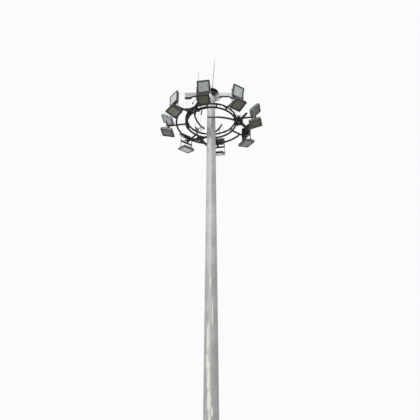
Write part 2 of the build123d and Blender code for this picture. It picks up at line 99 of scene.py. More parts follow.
UP = np.array([0.0, 0.0, 1.0])
STATIONS = 8
KNEES = 3
LOWER_LEVEL = middle("lower_ring")[2]
UPPER_LEVEL = middle("upper_ring")[2]
INNER = ring_radius("lower_ring")
TUBE = tube_radius("lower_ring")
OUTER_TUBE = tube_radius("outer_ring")
OUTER = -low("outer_ring")[0] - OUTER_TUBE   # the half ring lies on the -X side
ARM_TOP = high("head_hub")[2]


class Lamp:
    """One floodlight at rest: its tilt pin, and its own axes (aim, side, up)."""

    def __init__(self, joint):
        self.name = joint["name"].replace("_tilt_", "_light_")
        self.row, number = joint["name"].split("_tilt_")
        self.number = int(number)
        self.body = joint["child"]
        self.pin = np.array(joint["pos_m"], float)
        glass = points_of(f"{self.row}_glass_{self.number}")
        centre = (glass.min(axis=0) + glass.max(axis=0)) / 2
        self.aim = centre - self.pin
        self.glass_reach = float(np.linalg.norm(self.aim))
        self.aim /= self.glass_reach
        self.side = np.array(joint["axis"], float)
        self.side /= np.linalg.norm(self.side)
        self.up = np.cross(self.aim, self.side)
        local = (points_of(f"{self.row}_lamp_{self.number}") - self.pin) @ self.axes.T
        self.front = float(local[:, 0].max())
        self.half = float(local[:, 2].max())
        self.pin_reach = float(local[:, 1].max())
        self.angle = atan2(self.pin[1], self.pin[0])

    def at(self, aim, side=0.0):
        """A point by its distances from the pin along the lamp's aim and its side."""
        return self.pin + aim * self.aim + side * self.side

    @property
    def axes(self):
        """Rows are the lamp's own axes: aim, side and up."""
        return np.stack([self.aim, self.side, self.up])


LAMPS = [Lamp(joint) for joint in frame["joints"] if "_tilt_" in joint["name"]]
FIRST = next(lamp for lamp in LAMPS if lamp.row == "upper" and lamp.number == 1)
STATION_START = atan2(FIRST.pin[1], FIRST.pin[0])
STATION_REACH = float(np.hypot(*FIRST.pin[:2]))
STATION_ANGLES = STATION_START + np.arange(STATIONS) * 2 * pi / STATIONS
ARM_MIDDLE = (LAMPS[0].pin[2] + LAMPS[-1].pin[2]) / 2   # centre height of the radial arms
ARM_DROP = (LAMPS[0].pin[2] - LAMPS[-1].pin[2]) / 2     # from a tilt pin to the arms' centre height
ARM_HALF = ARM_MIDDLE - high("lower_yokes")[2]          # half the arms' height and width


def knee_angles():
    """Angles of the three knees, read from the hanging plugs that stand under them."""
    points = points_of("hanging_plugs")
    angles = np.arctan2(points[:, 1], points[:, 0])
    first = angles[np.abs(angles) < pi / 3].mean()
    return first + np.arange(KNEES) * 2 * pi / KNEES


KNEE_ANGLES = knee_angles()


def polar(radius, angle, height):
    """A point by its distance from the mast's axis, its angle round it and its height."""
    return np.array([radius * cos(angle), radius * sin(angle), height])


def outward(angle):
    """The level direction away from the mast at an angle."""
    return np.array([cos(angle), sin(angle), 0.0])


def around(angle):
    """The level direction round the mast at an angle, anticlockwise seen from above."""
    return np.array([-sin(angle), cos(angle), 0.0])


def rows_at(angle):
    """Rows of a fitting's own axes at an angle: away from the mast, round it and up."""
    return np.stack([outward(angle), around(angle), UP])


def square_to(axis):
    """Two directions square to an axis of length one.

    The first is the axis crossed with whichever of x, y and z it leans least towards; the second is
    the axis crossed with the first.
    """
    first = np.cross(axis, np.eye(3)[np.abs(axis).argmin()])
    first /= np.linalg.norm(first)
    return first, np.cross(axis, first)


# ================================================================ surfaces
# A surface is (points, faces): points is (n, 3), and faces is a list of whole-number arrays, each
# (faces, corners of a face).
def skin(rows, closed=False):
    """A tube of quads over an (m, n, 3) grid whose rows are closed loops.

    Row i and row i + 1 are joined all round. A closed skin joins its last row to its first;
    an open one gets a flat face at each end.
    """
    rows = np.asarray(rows, float)
    m, n = rows.shape[:2]
    r = np.arange(m if closed else m - 1)[:, None]
    c = np.arange(n)[None, :]
    after = (r + 1) % m
    quads = np.stack([r * n + c, r * n + (c + 1) % n, after * n + (c + 1) % n, after * n + c], -1)
    faces = [quads.reshape(-1, 4)]
    if not closed:
        faces += [np.arange(n)[None, ::-1], np.arange((m - 1) * n, m * n)[None]]
    return rows.reshape(-1, 3), faces


def loop_around(path, closed):
    """Two directions square to a path at each of its points.

    The path's direction is its central difference; the first direction is that crossed with the
    axis the path turns least towards, and the second completes the pair.
    """
    if closed:
        run = np.roll(path, -1, axis=0) - np.roll(path, 1, axis=0)
    else:
        run = np.gradient(path, axis=0)
    run /= np.linalg.norm(run, axis=1, keepdims=True)
    first = np.cross(run, np.eye(3)[np.abs(run).max(axis=0).argmin()])
    first /= np.linalg.norm(first, axis=1, keepdims=True)
    return first, np.cross(run, first)


def tube(path, radius, sides, closed=False):
    """A round tube: each path point plus its radius times (cos, sin) of the angle round the path."""
    path = np.asarray(path, float)
    first, second = loop_around(path, closed)
    radius = np.broadcast_to(np.asarray(radius, float), (len(path),))[:, None, None]
    turn = (np.arange(sides) * 2 * pi / sides)[None, :, None]
    rows = path[:, None] + radius * (np.cos(turn) * first[:, None] + np.sin(turn) * second[:, None])
    return skin(rows, closed)


def lathe(profile, origin, axis, sides):
    """A profile of (radius, distance) rows turned about an axis through origin.

    Each point is the origin plus its distance along the axis, plus its radius times (cos, sin) of
    the turn.
    """
    profile = np.asarray(profile, float)
    axis = np.asarray(axis, float) / np.linalg.norm(axis)
    first, second = square_to(axis)
    turn = (np.arange(sides) * 2 * pi / sides)[:, None]
    spokes = np.cos(turn) * first + np.sin(turn) * second
    radius, along = profile[:, 0, None, None], profile[:, 1, None, None]
    return skin(np.asarray(origin, float) + radius * spokes + along * axis)


def slab(centre, axes, size, corner, edge):
    """A block with rounded upright corners and bevelled top and bottom edges.

    Its outline is each corner circle's centre plus the corner radius times (cos, sin) of the
    angle. The rows of axes are the block's own x, y and z directions.
    """
    sx, sy, sz = np.asarray(size, float) / 2
    corner = min(corner, sx * 0.99, sy * 0.99)
    edge = min(edge, corner * 0.9, sz * 0.9)
    turn = (np.arange(16) + 0.5) * 2 * pi / 16
    ring = np.stack([np.cos(turn), np.sin(turn)], 1)
    hub = np.sign(ring) * [sx - corner, sy - corner]
    rounding = corner - np.array([edge, 0, 0, edge])
    flat = hub + rounding[:, None, None] * ring
    height = np.broadcast_to(np.array([-sz, edge - sz, sz - edge, sz])[:, None, None], (4, 16, 1))
    return skin(np.concatenate([flat, height], 2) @ np.asarray(axes, float) + np.asarray(centre, float))


def border(centre, axes, half, width, height, corner):
    """A square picture-frame moulding: a low trapezium carried round a rounded square.

    The square is the corner circles' centres plus their radius times (cos, sin) of the angle. Where
    the moulding runs in past those centres, its corners are sharp.
    """
    turn = (np.arange(48) + 0.5) * 2 * pi / 48
    ring = np.stack([np.cos(turn), np.sin(turn)], 1)[:, None]
    steps = np.array([[0.0, 0.0], [0.0, 0.7], [0.2, 1.0], [0.8, 1.0], [1.0, 0.6], [1.0, 0.0]])
    inset = steps[:, 0] * width
    flat = np.sign(ring) * (half - corner) + ring * np.maximum(corner - inset, 0.0)[:, None]
    flat -= np.sign(ring) * np.maximum(inset - corner, 0.0)[:, None]
    rise = np.broadcast_to(steps[:, 1] * height, flat.shape[:2])
    local = np.stack([rise, flat[..., 0], flat[..., 1]], -1)
    return skin(local @ np.asarray(axes, float) + np.asarray(centre, float), closed=True)


def nut(origin, axis, size, stud):
    """A chamfered hexagon nut on a round washer, with a stud end; size is across its corners, halved."""
    return joined([
        lathe([(size * 1.3, 0), (size * 1.3, size * 0.16)], origin, axis, 20),
        lathe([(size, size * 0.16), (size, size * 0.86), (size * 0.85, size)], origin, axis, 6),
        lathe([(size * 0.52, size), (size * 0.52, size * (0.9 + stud)), (size * 0.42, size * (1 + stud))],
              origin, axis, 12),
    ])


def bead(path, radius, closed=False, lumps=60.0):
    """A weld bead: a half-sunk tube whose radius swells in small waves along the path.

    At a distance s along it, the radius is multiplied by 1 + 0.16 * sin(2 pi * lumps * s).
    """
    path = np.asarray(path, float)
    run = np.concatenate([[0], np.cumsum(np.linalg.norm(np.diff(path, axis=0), axis=1))])
    return tube(path, radius * (1 + 0.16 * np.sin(run * lumps * 2 * pi)), 8, closed)


def circle(centre, axis, radius, count):
    """Points round a circle square to an axis of length one: its centre plus radius times (cos, sin)."""
    first, second = square_to(np.asarray(axis, float))
    turn = (np.arange(count) * 2 * pi / count)[:, None]
    return np.asarray(centre, float) + radius * (np.cos(turn) * first + np.sin(turn) * second)


def smooth_path(corners, count):
    """A Catmull-Rom curve through the corner points, evenly counted between each pair.

    Between p1 and p2, at share t, it is half of 2 p1 + (p2 - p0) t + (2 p0 - 5 p1 + 4 p2 - p3) t**2
    + (3 p1 - p0 - 3 p2 + p3) t**3.
    """
    corners = np.asarray(corners, float)
    ends = np.concatenate([[2 * corners[0] - corners[1]], corners, [2 * corners[-1] - corners[-2]]])
    step = np.linspace(0, len(corners) - 1, count)
    span = np.minimum(step.astype(int), len(corners) - 2)
    t = (step - span)[:, None]
    p0, p1, p2, p3 = (ends[span + k] for k in range(4))
    bend, twist = 2 * p0 - 5 * p1 + 4 * p2 - p3, 3 * p1 - p0 - 3 * p2 + p3
    return 0.5 * (2 * p1 + (p2 - p0) * t + bend * t**2 + twist * t**3)


def repeated(surface, offsets):
    """One surface copied to many places."""
    points, faces = surface
    offsets = np.asarray(offsets, float)
    many = (points[None] + offsets[:, None]).reshape(-1, 3)
    shift = (np.arange(len(offsets)) * len(points))[:, None, None]
    return many, [(face[None] + shift).reshape(-1, face.shape[1]) for face in faces]


def joined(surfaces):
    """Several surfaces as one."""
    starts = np.cumsum([0] + [len(points) for points, _ in surfaces])
    faces = [face + start for (_, some), start in zip(surfaces, starts) for face in some]
    return np.concatenate([points for points, _ in surfaces]), faces


def piece(name, surfaces, finish, body, sharp=40):
    """One object from surfaces, with its finish and outward faces, that moves with a body."""
    points, faces = joined(surfaces)
    corners = np.concatenate([face.ravel() for face in faces])
    totals = np.concatenate([np.full(len(face), face.shape[1]) for face in faces])
    mesh = bpy.data.meshes.new(name)
    mesh.vertices.add(len(points))
    mesh.vertices.foreach_set("co", points.ravel())
    mesh.loops.add(len(corners))
    mesh.loops.foreach_set("vertex_index", corners.astype(np.int32))
    mesh.polygons.add(len(totals))
    mesh.polygons.foreach_set("loop_start", (np.cumsum(totals) - totals).astype(np.int32))
    mesh.update(calc_edges=True)
    mesh.validate()
    work = bmesh.new()
    work.from_mesh(mesh)
    bmesh.ops.recalc_face_normals(work, faces=work.faces)
    work.to_mesh(mesh)
    work.free()
    mesh.shade_smooth()
    mesh.set_sharp_from_angle(angle=radians(sharp))
    mesh.materials.append(finish)
    thing = bpy.data.objects.new(name, mesh)
    bpy.context.scene.collection.objects.link(thing)
    if body:
        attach(thing, body)
    return thing


# ================================================================ finishes
def tint(red, green, blue):
    """A colour given as 0-255 screen values, as linear values."""
    value = np.array([red, green, blue]) / 255
    linear = np.where(value <= 0.04045, value / 12.92, ((value + 0.055) / 1.055) ** 2.4)
    return (*linear.tolist(), 1.0)


def lighter(colour, times=1.0, plus=0.0):
    """A colour's screen values times one number plus another, held at white, as linear values."""
    return tint(*(min(255, value * times + plus) for value in colour))


class Finish:
    """A surface finish built from nodes on a thing's own coordinates, in metres."""

    def __init__(self, name):
        self.material = bpy.data.materials.new(name)
        self.material.use_nodes = True
        self.tree = self.material.node_tree
        self.tree.nodes.clear()
        self.here = self.node("ShaderNodeTexCoord").outputs["Object"]

    def node(self, kind, **settings):
        """A new node of a kind, with its settings."""
        made = self.tree.nodes.new(kind)
        for name, value in settings.items():
            setattr(made, name, value)
        return made

    def feed(self, socket, value):
        """Link a socket to another, or set it."""
        if isinstance(value, bpy.types.NodeSocket):
            self.tree.links.new(value, socket)
        else:
            socket.default_value = value

    def maths(self, kind, first, second=0.0, third=0.0, clamp=False):
        """One value from up to three, by a kind of sum; clamped, it stays between 0 and 1."""
        made = self.node("ShaderNodeMath", operation=kind, use_clamp=clamp)
        for socket, value in zip(made.inputs, (first, second, third)):
            self.feed(socket, value)
        return made.outputs[0]

    def parts(self):
        """The x, y and z of the thing's own coordinates."""
        return self.split(self.here)

    def split(self, vector):
        """The three parts of a direction or a colour."""
        made = self.node("ShaderNodeSeparateXYZ")
        self.feed(made.inputs[0], vector)
        return made.outputs

    def stretched(self, by):
        """The thing's own coordinates, each multiplied by its own number."""
        made = self.node("ShaderNodeVectorMath", operation="MULTIPLY")
        self.feed(made.inputs[0], self.here)
        made.inputs[1].default_value = by
        return made.outputs[0]

    def noise(self, scale, detail, by=(1, 1, 1), rough=0.55):
        """Cloudy noise of scale waves a metre, drawn out along an axis where by is small."""
        made = self.node("ShaderNodeTexNoise")
        self.feed(made.inputs["Vector"], self.stretched(by))
        for name, value in (("Scale", scale), ("Detail", detail), ("Roughness", rough)):
            made.inputs[name].default_value = value
        return made.outputs["Fac"]

    def cells(self, scale):
        """Crystals of about 1 / scale metres, each with a number of its own."""
        made = self.node("ShaderNodeTexVoronoi")
        self.feed(made.inputs["Vector"], self.here)
        made.inputs["Scale"].default_value = scale
        return self.split(made.outputs["Color"])[0]

    def band(self, value, start, stop, at_start=0.0, at_stop=1.0):
        """A value's span start to stop carried smoothly to another span, and held outside it."""
        made = self.node("ShaderNodeMapRange", interpolation_type="SMOOTHSTEP")
        self.feed(made.inputs[0], value)
        for socket, number in zip(made.inputs[1:5], (start, stop, at_start, at_stop)):
            socket.default_value = number
        return made.outputs[0]

    def mix(self, share, first, second):
        """The first colour, with a share of the second."""
        made = self.node("ShaderNodeMix", data_type="RGBA")
        self.feed(made.inputs[0], share)
        self.feed(made.inputs[6], first)
        self.feed(made.inputs[7], second)
        return made.outputs[2]

    def coated(self, share, under, over):
        """One shader, with a share of another over it."""
        made = self.node("ShaderNodeMixShader")
        for socket, value in zip(made.inputs, (share, under, over)):
            self.feed(socket, value)
        return made.outputs[0]

    def relief(self, height, depth, strength=0.5):
        """Small bumps, depth metres high where the height goes from 0 to 1."""
        made = self.node("ShaderNodeBump")
        made.inputs["Distance"].default_value = depth
        made.inputs["Strength"].default_value = strength
        self.feed(made.inputs["Height"], height)
        return made.outputs[0]

    def shown(self, shader):
        """The material, with a shader on its surface."""
        out = self.node("ShaderNodeOutputMaterial")
        self.feed(out.inputs["Surface"], shader)
        return self.material

    def done(self, colour, rough, metal, relief):
        """The material, from its colour, roughness, share of metal and bumps."""
        shader = self.node("ShaderNodeBsdfPrincipled")
        self.feed(shader.inputs["Base Color"], colour)
        self.feed(shader.inputs["Roughness"], rough)
        self.feed(shader.inputs["Metallic"], metal)
        self.feed(shader.inputs["Normal"], relief)
        return self.shown(shader.outputs[0])


GRIME = (118, 108, 92)      # what the rain leaves on zinc
CHALK = (236, 233, 224)     # pale patches on the mast's front
RUBBED = (92, 84, 72)       # paint worn through
# Black of a lamp's fins and back: their dark coating, with painted shade on them.
BACK_SHADE_BLACK = (30, 31, 31)   # a lamp's fins and back
# Painted shade: black for the shade on the yokes' feet, between a station's two lamps.
YOKE_FOOT_SHADE = (14, 14, 11)   # the yokes' feet, between a station's two lamps

# The pale patches on the mast's front: middle x, middle z, half width, half height.
PATCHES = (
    (-0.088, 11.10, 0.034, 0.55), (-0.075, 10.05, 0.040, 0.55), (-0.060, 9.35, 0.055, 0.42),
    (-0.045, 8.60, 0.040, 0.50), (0.037, 11.95, 0.022, 0.45), (-0.068, 17.82, 0.020, 0.12),
    (-0.110, 10.45, 0.030, 0.25), (0.020, 9.05, 0.030, 0.16), (-0.020, 12.90, 0.016, 0.18),
)


def patch_share(f):
    """How much of a pale patch lies on each place of the mast's front, 0 to 0.8.

    A place's distance from a patch is the root of ((x - middle x) / half width) ** 2 +
    ((z - middle z) / half height) ** 2. The nearest patch counts, and noise makes its edge wander.
    """
    x, y, z = f.parts()
    nearest = 9.0
    for centre, level, wide, tall in PATCHES:
        beside = f.maths("POWER", f.maths("DIVIDE", f.maths("SUBTRACT", x, centre), wide), 2.0)
        above = f.maths("POWER", f.maths("DIVIDE", f.maths("SUBTRACT", z, level), tall), 2.0)
        nearest = f.maths("MINIMUM", nearest, f.maths("SQRT", f.maths("ADD", beside, above)))
    wander = f.maths("MULTIPLY", f.maths("SUBTRACT", f.noise(13, 5, (1, 1, 0.5)), 0.5), 1.5)
    share = f.band(f.maths("ADD", nearest, wander), 0.62, 1.12, 0.80, 0.0)
    return f.maths("MULTIPLY", share, f.band(y, -0.04, 0.0, 1, 0))


def galvanised(name, light, dark, patched=False):
    """Weathered zinc: spangle, long rain streaks and grey blooms.

    The mast's is patched: it darkens from 16 m down to 9.5 m, and has the pale patches.
    """
    f = Finish(name)
    spangle = f.cells(110)
    bloom = f.noise(2.6, 6)
    streaks = f.noise(26, 6, (1, 1, 0.045))
    grime = f.noise(9, 7, (1, 1, 0.16), 0.65)
    colour = f.mix(f.band(bloom, 0.30, 0.72), tint(*dark), tint(*light))
    colour = f.mix(f.maths("MULTIPLY", spangle, 0.16), colour, lighter(light, plus=26))
    colour = f.mix(f.band(streaks, 0.50, 0.78, 0, 0.34), colour, lighter(dark, 0.72))
    colour = f.mix(f.band(grime, 0.60, 0.80, 0, 0.30), colour, tint(*GRIME))
    rough = f.maths("ADD", f.band(bloom, 0.3, 0.7, 0.46, 0.60), f.maths("MULTIPLY", spangle, 0.10))
    if patched:
        colour = f.mix(f.band(f.parts()[2], 9.5, 16.0, 0.34, 0.0), colour, lighter(dark, 0.66))
        pale = patch_share(f)
        colour = f.mix(pale, colour, tint(*CHALK))
        rough = f.maths("ADD", rough, f.maths("MULTIPLY", pale, 0.2), clamp=True)
    height = f.maths("ADD", f.maths("MULTIPLY", spangle, 0.25), f.noise(60, 4))
    return f.done(colour, rough, 0.35, f.relief(height, 0.0006))


def painted(name, colour, dust, rough, dusty, wear=0.0, middle_shade_band=None):
    """Satin paint: mottling, orange peel, dust on what faces up, and rubbed spots.

    A middle band is black, as painted shade, and is given by its middle height and half its height.
    """
    f = Finish(name)
    mottle = f.noise(7, 6)
    base = f.mix(f.band(mottle, 0.35, 0.68), lighter(colour, 0.86), tint(*colour))
    facing = f.split(f.node("ShaderNodeNewGeometry").outputs["Normal"])[2]
    dust_spread = f.band(f.noise(22, 7, rough=0.7), 0.35, 0.70)
    settled = f.maths("MULTIPLY", f.band(facing, 0.1, 0.95), dust_spread)
    base = f.mix(f.maths("MULTIPLY", settled, dusty), base, tint(*dust))
    if wear:
        rubbed = f.band(f.noise(55, 8, rough=0.75), 0.64, 0.70, 0, wear)
        base = f.mix(rubbed, base, tint(*RUBBED))
    if middle_shade_band is not None:
        level, half = middle_shade_band
        away = f.maths("ABSOLUTE", f.maths("SUBTRACT", f.parts()[2], level))
        base = f.mix(f.band(away, half - 0.002, half, 1, 0), base, tint(*YOKE_FOOT_SHADE))
    shine = f.band(mottle, 0.3, 0.7, rough - 0.07, rough + 0.07)
    shine = f.maths("ADD", shine, f.maths("MULTIPLY", settled, 0.3))
    return f.done(base, shine, 0.0, f.relief(f.noise(420, 3), 0.00025))


def cast_metal(name, colour, dust, point, direction):
    """Coated die casting: fine grain, dust and wash marks, and black behind a plane through a point, for a dark
    coating together with painted shade.
    """
    f = Finish(name)
    wash = f.noise(34, 6, (1, 1, 0.2))
    base = f.mix(f.band(wash, 0.38, 0.70), tint(*colour), lighter(colour, 1.16, 4))
    base = f.mix(f.band(f.noise(16, 7, rough=0.7), 0.50, 0.72, 0, 0.45), base, tint(*dust))
    ahead = f.node("ShaderNodeVectorMath", operation="DOT_PRODUCT")
    f.feed(ahead.inputs[0], f.here)
    ahead.inputs[1].default_value = direction
    plane_at = float(np.dot(point, direction))
    behind = f.band(ahead.outputs["Value"], plane_at - 0.002, plane_at + 0.002, 1, 0)
    base = f.mix(behind, base, tint(*BACK_SHADE_BLACK))
    return f.done(base, f.band(wash, 0.3, 0.7, 0.36, 0.52), 0.0, f.relief(f.noise(750, 3), 0.0003, 0.4))


def pane(name, film, share, gloss, blotched):
    """A clear pane: see-through, with a diffuse film that covers up to a share of it: dust and dirt, and, where
    the share is large, a pale film that stands in for reflected sky light (painted reflection).

    It mirrors by gloss + (0.94 - gloss) * slant ** 5, where slant is 0 face on and 1 edge on.
    """
    f = Finish(name)
    if blotched:
        dirt_and_sheen = f.band(f.noise(9, 4, (1, 1, 3)), 0.36, 0.64, share * 0.35, share)
    else:
        dirt_and_sheen = f.band(f.noise(14, 7, rough=0.7), 0.30, 0.75, share * 0.5, share)
    clear = f.node("ShaderNodeBsdfTransparent")
    clear.inputs[0].default_value = (0.97, 0.98, 0.975, 1)
    mirror = f.node("ShaderNodeBsdfGlossy")
    mirror.inputs["Roughness"].default_value = 0.06
    film_diffuse = f.node("ShaderNodeBsdfDiffuse")
    film_diffuse.inputs[0].default_value = tint(*film)
    slant = f.node("ShaderNodeLayerWeight").outputs["Facing"]
    angle = f.maths("MULTIPLY_ADD", f.maths("POWER", slant, 5.0), 0.94 - gloss, gloss)
    dirt_and_sheen_coat = f.coated(dirt_and_sheen, clear.outputs[0], film_diffuse.outputs[0])
    return f.shown(f.coated(angle, dirt_and_sheen_coat, mirror.outputs[0]))


def plain(name, colour, rough, metal, grain=300.0, spread=0.14):
    """A small part's finish: one colour, cloudy by a spread either way, with a fine grain."""
    f = Finish(name)
    base = f.mix(f.band(f.noise(38, 6), 0.3, 0.7), lighter(colour, 1 - spread), lighter(colour, 1 + spread))
    shine = f.band(f.noise(90, 5), 0.3, 0.7, rough - 0.06, rough + 0.08)
    return f.done(base, shine, metal, f.relief(f.noise(grain, 3), 0.0002))


ZINC_MAST = galvanised("weathered zinc of the mast", (196, 197, 196), (168, 168, 166), patched=True)
ZINC_HEAD = galvanised("weathered zinc of the head", (212, 214, 214), (200, 202, 202))
ZINC_ARM_LEFT = galvanised("duller zinc of the left arm", (186, 186, 182), (160, 160, 155))
ZINC_BASE = galvanised("weathered zinc of the base", (176, 177, 175), (142, 142, 138))
DARK_STEEL = painted("dark dusty paint", (38, 35, 21), (82, 77, 56), 0.6, 0.45, 0.4)
DARK_KNEE = painted("dark dusty paint of the knees", (25, 23, 11), (60, 55, 38), 0.62, 0.4, 0.3)
# The yoke paint is black in a band at the arms' height: painted shade on the yokes' feet.
STRAP_GREY = painted("grey yoke paint", (124, 134, 138), (134, 130, 120), 0.45, 0.4, 0.3, (ARM_MIDDLE, 0.027))
BOX_GREY = painted("grey box paint", (138, 142, 143), (140, 136, 125), 0.42, 0.4, 0.2)
TRIM = painted("dark lamp trim", (34, 35, 34), (84, 82, 74), 0.42, 0.3)
TRIM_PALE = painted("pale lamp trim", (158, 161, 161), (120, 118, 108), 0.42, 0.3)
TRIM_GREY = painted("grey lamp trim", (74, 82, 86), (96, 94, 86), 0.42, 0.3)
CAP_BLACK = painted("matt black cap", (25, 24, 21), (58, 55, 47), 0.6, 0.5, 0.2)
ROD_METAL = plain("dull rod metal", (122, 112, 106), 0.42, 0.6)
SIDE_ROD_METAL = plain("dull zinc rod", (122, 124, 124), 0.40, 0.6)
WIRE = plain("galvanised rope wire", (148, 148, 145), 0.42, 0.7, 900)
GREASED = plain("greased iron", (70, 68, 62), 0.34, 0.8)
LUG_ZINC = plain("dull lug zinc", (132, 133, 130), 0.5, 0.5)
BOLT_ZINC = plain("zinc of the bolts", (158, 160, 160), 0.38, 0.75)
RUBBER = plain("black rubber", (22, 22, 22), 0.55, 0.0, 500)
CABLE_BLACK = plain("black cable sheath", (31, 29, 18), 0.6, 0.0, 200)
CABLE_GREY = plain("grey cable sheath", (150, 154, 152), 0.48, 0.0, 200)
TIE_BLACK = plain("black nylon tie", (36, 36, 35), 0.42, 0.0, 400)
NYLON = plain("weathered roller nylon", (170, 171, 162), 0.45, 0.0, 120)
SPRING = plain("bright spring steel", (186, 188, 188), 0.32, 0.85, 600)
WELD = plain("weld bead", (150, 150, 146), 0.55, 0.5, 240)
RING_STEEL = plain("worn ring steel", (96, 90, 78), 0.5, 0.4)

# By station, how each lamp looks: the colour of its housing, lighter or darker by how light falls on that lamp
# (painted light and shade) as well as by its weathering; the colour of its diode boards, near white where sky
# light falls on them and olive where only the ground's light reaches them (painted light, shade and a painted
# reflection of the ground); the film on its pane; and the pane's gloss face on.
UPPER_PAINTED_LIGHT_AND_WEAR = (
    ((112, 121, 126), (96, 98, 94), 0.05, 0.015), ((8, 9, 9), (150, 152, 148), 0.05, 0.04),
    ((78, 82, 85), (160, 162, 158), 0.05, 0.04), ((120, 129, 133), (204, 204, 202), 0.10, 0.04),
    ((138, 147, 151), (246, 247, 248), 0.40, 0.24), ((52, 56, 58), (250, 251, 253), 0.40, 0.55),
    ((40, 42, 43), (188, 191, 195), 0.05, 0.03), ((86, 94, 98), (246, 247, 250), 0.12, 0.16),
)
LOWER_PAINTED_LIGHT_AND_WEAR = (
    ((112, 122, 125), (101, 101, 82), 0.05, 0.015), ((96, 103, 107), (162, 162, 150), 0.26, 0.02),
    ((18, 18, 17), (190, 190, 180), 0.10, 0.36), ((128, 137, 141), (206, 198, 178), 0.90, 0.30),
    ((118, 127, 131), (144, 146, 137), 0.07, 0.02), ((56, 64, 68), (182, 184, 175), 0.08, 0.02),
    ((38, 40, 40), (122, 122, 103), 0.06, 0.015), ((82, 90, 94), (140, 140, 121), 0.06, 0.015),
)

COATS = {
    "base_flange": ZINC_BASE, "base_gussets": ZINC_BASE, "mast_lower": ZINC_MAST, "mast_upper": ZINC_MAST,
    "door_frame": ZINC_MAST, "service_door": ZINC_MAST, "head_hub": ZINC_HEAD, "head_arm_right": ZINC_HEAD,
    "head_arm_left": ZINC_ARM_LEFT, "head_sheaves": GREASED, "head_ropes": WIRE, "suspension_ropes": WIRE,
    "rain_cap": CAP_BLACK, "lightning_rod": ROD_METAL, "side_rod": SIDE_ROD_METAL, "upper_ring": DARK_STEEL,
    "lower_ring": DARK_STEEL, "outer_ring": DARK_STEEL, "radial_arms": DARK_STEEL, "knee_plates": DARK_KNEE,
    "guide_arms": DARK_KNEE, "guide_rollers": NYLON, "rope_lugs": LUG_ZINC, "hanging_plugs": RUBBER,
    "junction_box": BOX_GREY, "upper_yokes": STRAP_GREY, "lower_yokes": STRAP_GREY,
}
CASTING_DUST = (112, 110, 100)
# Film colours: where their share is large, the pale upper film and the blotched lower film stand in for reflected
# sky light (painted reflection); the lower film is dust.
UPPER_FILM, LOWER_FILM, BLOTCH_FILM = (232, 236, 241), (150, 147, 130), (252, 248, 238)
TRAY_BACK = 0.0125      # from a tilt pin to the back of the lamp's tray, where its fins start
for lamp in LAMPS:
    # Each lamp's row of the table: painted light and shade in its housing and board colours, and its pane's film
    # and gloss.
    wear = UPPER_PAINTED_LIGHT_AND_WEAR if lamp.row == "upper" else LOWER_PAINTED_LIGHT_AND_WEAR
    housing, lamp.boards, share, gloss = wear[lamp.number - 1]
    blotched = lamp.row == "lower" and share > 0.2
    film = UPPER_FILM if lamp.row == "upper" else BLOTCH_FILM if blotched else LOWER_FILM
    behind = lamp.at(-TRAY_BACK)
    casting = cast_metal(f"coated casting of {lamp.name}", housing, CASTING_DUST, behind, lamp.aim)
    glazing = pane(f"clear pane of {lamp.name}", film, share, gloss, blotched)
    COATS[f"{lamp.row}_lamp_{lamp.number}"] = casting
    COATS[f"{lamp.row}_glass_{lamp.number}"] = glazing
for node, coat in COATS.items():
    mesh = frame["nodes"][node].data
    mesh.materials.clear()
    mesh.materials.append(coat)


# ================================================================ floodlights
LENSES = 6              # lenses along each side of a lamp's four boards
LAMP_SEAT = 0.008       # from the bezel's front back to the pane's seat
BOARD_FLOOR = 0.022     # from the bezel's front back to the diode floor
BOARD_EDGE = 0.012      # from the pane's edge in to the boards
BOARD_GAP = 0.010       # between two boards
BOARD_THICK = 0.002     # of a board, and of the sheet that carries the four
LENS_EDGE = 0.016       # what the lenses leave free across a board
SCREW_EDGE = 0.018      # from the bezel's outside in to its screws
PIN_NUT = 0.0115        # half a tilt pin's nut across its corners
TRIM_HEIGHT, TRIM_CORNER = 0.003, 0.021
SEAL_HEIGHT, SEAL_CORNER = 0.0024, 0.006
SEAL_RISE = 0.0048      # from the pane's seat out to its seal
QUARTERS = ((-1, -1), (-1, 1), (1, -1), (1, 1))
SCREW_SPOTS = ((-1, -1), (-1, 0), (-1, 1), (0, -1), (0, 1), (1, -1), (1, 0), (1, 1))
LENS = ((0.0098, 0), (0.0094, 0.0022), (0.0076, 0.0042), (0.0042, 0.0056), (0.0012, 0.0060))
SOCKET_SCREW = ((0.0062, 0), (0.0062, 0.0016), (0.0046, 0.0030), (0.0022, 0.0030), (0.0020, 0.0016))
# The lower lamps' seals, and the two widest, are made wider partly to stand in for the shade along the lamps'
# edges nearest the mast (painted shade).
SEAL_WIDTHS = {"upper": 0.011, "lower": 0.018}
WIDE_SEALS = {"lower_light_7": 0.028, "lower_light_8": 0.022}
PALE_TRIMS = ("lower_light_3",)
GREY_TRIMS = ("upper_light_8", "upper_light_1", "upper_light_5", "upper_light_6", "upper_light_4")


def grid(along, across, count, pitch):
    """A square grid of offsets in the plane of two directions."""
    steps = (np.arange(count) - (count - 1) / 2) * pitch
    first, second = np.meshgrid(steps, steps)
    return first.ravel()[:, None] * along + second.ravel()[:, None] * across


def glazing_half(lamp):
    """Half the width of a lamp's pane."""
    local = (points_of(f"{lamp.row}_glass_{lamp.number}") - lamp.pin) @ lamp.side
    return float(np.abs(local).max())


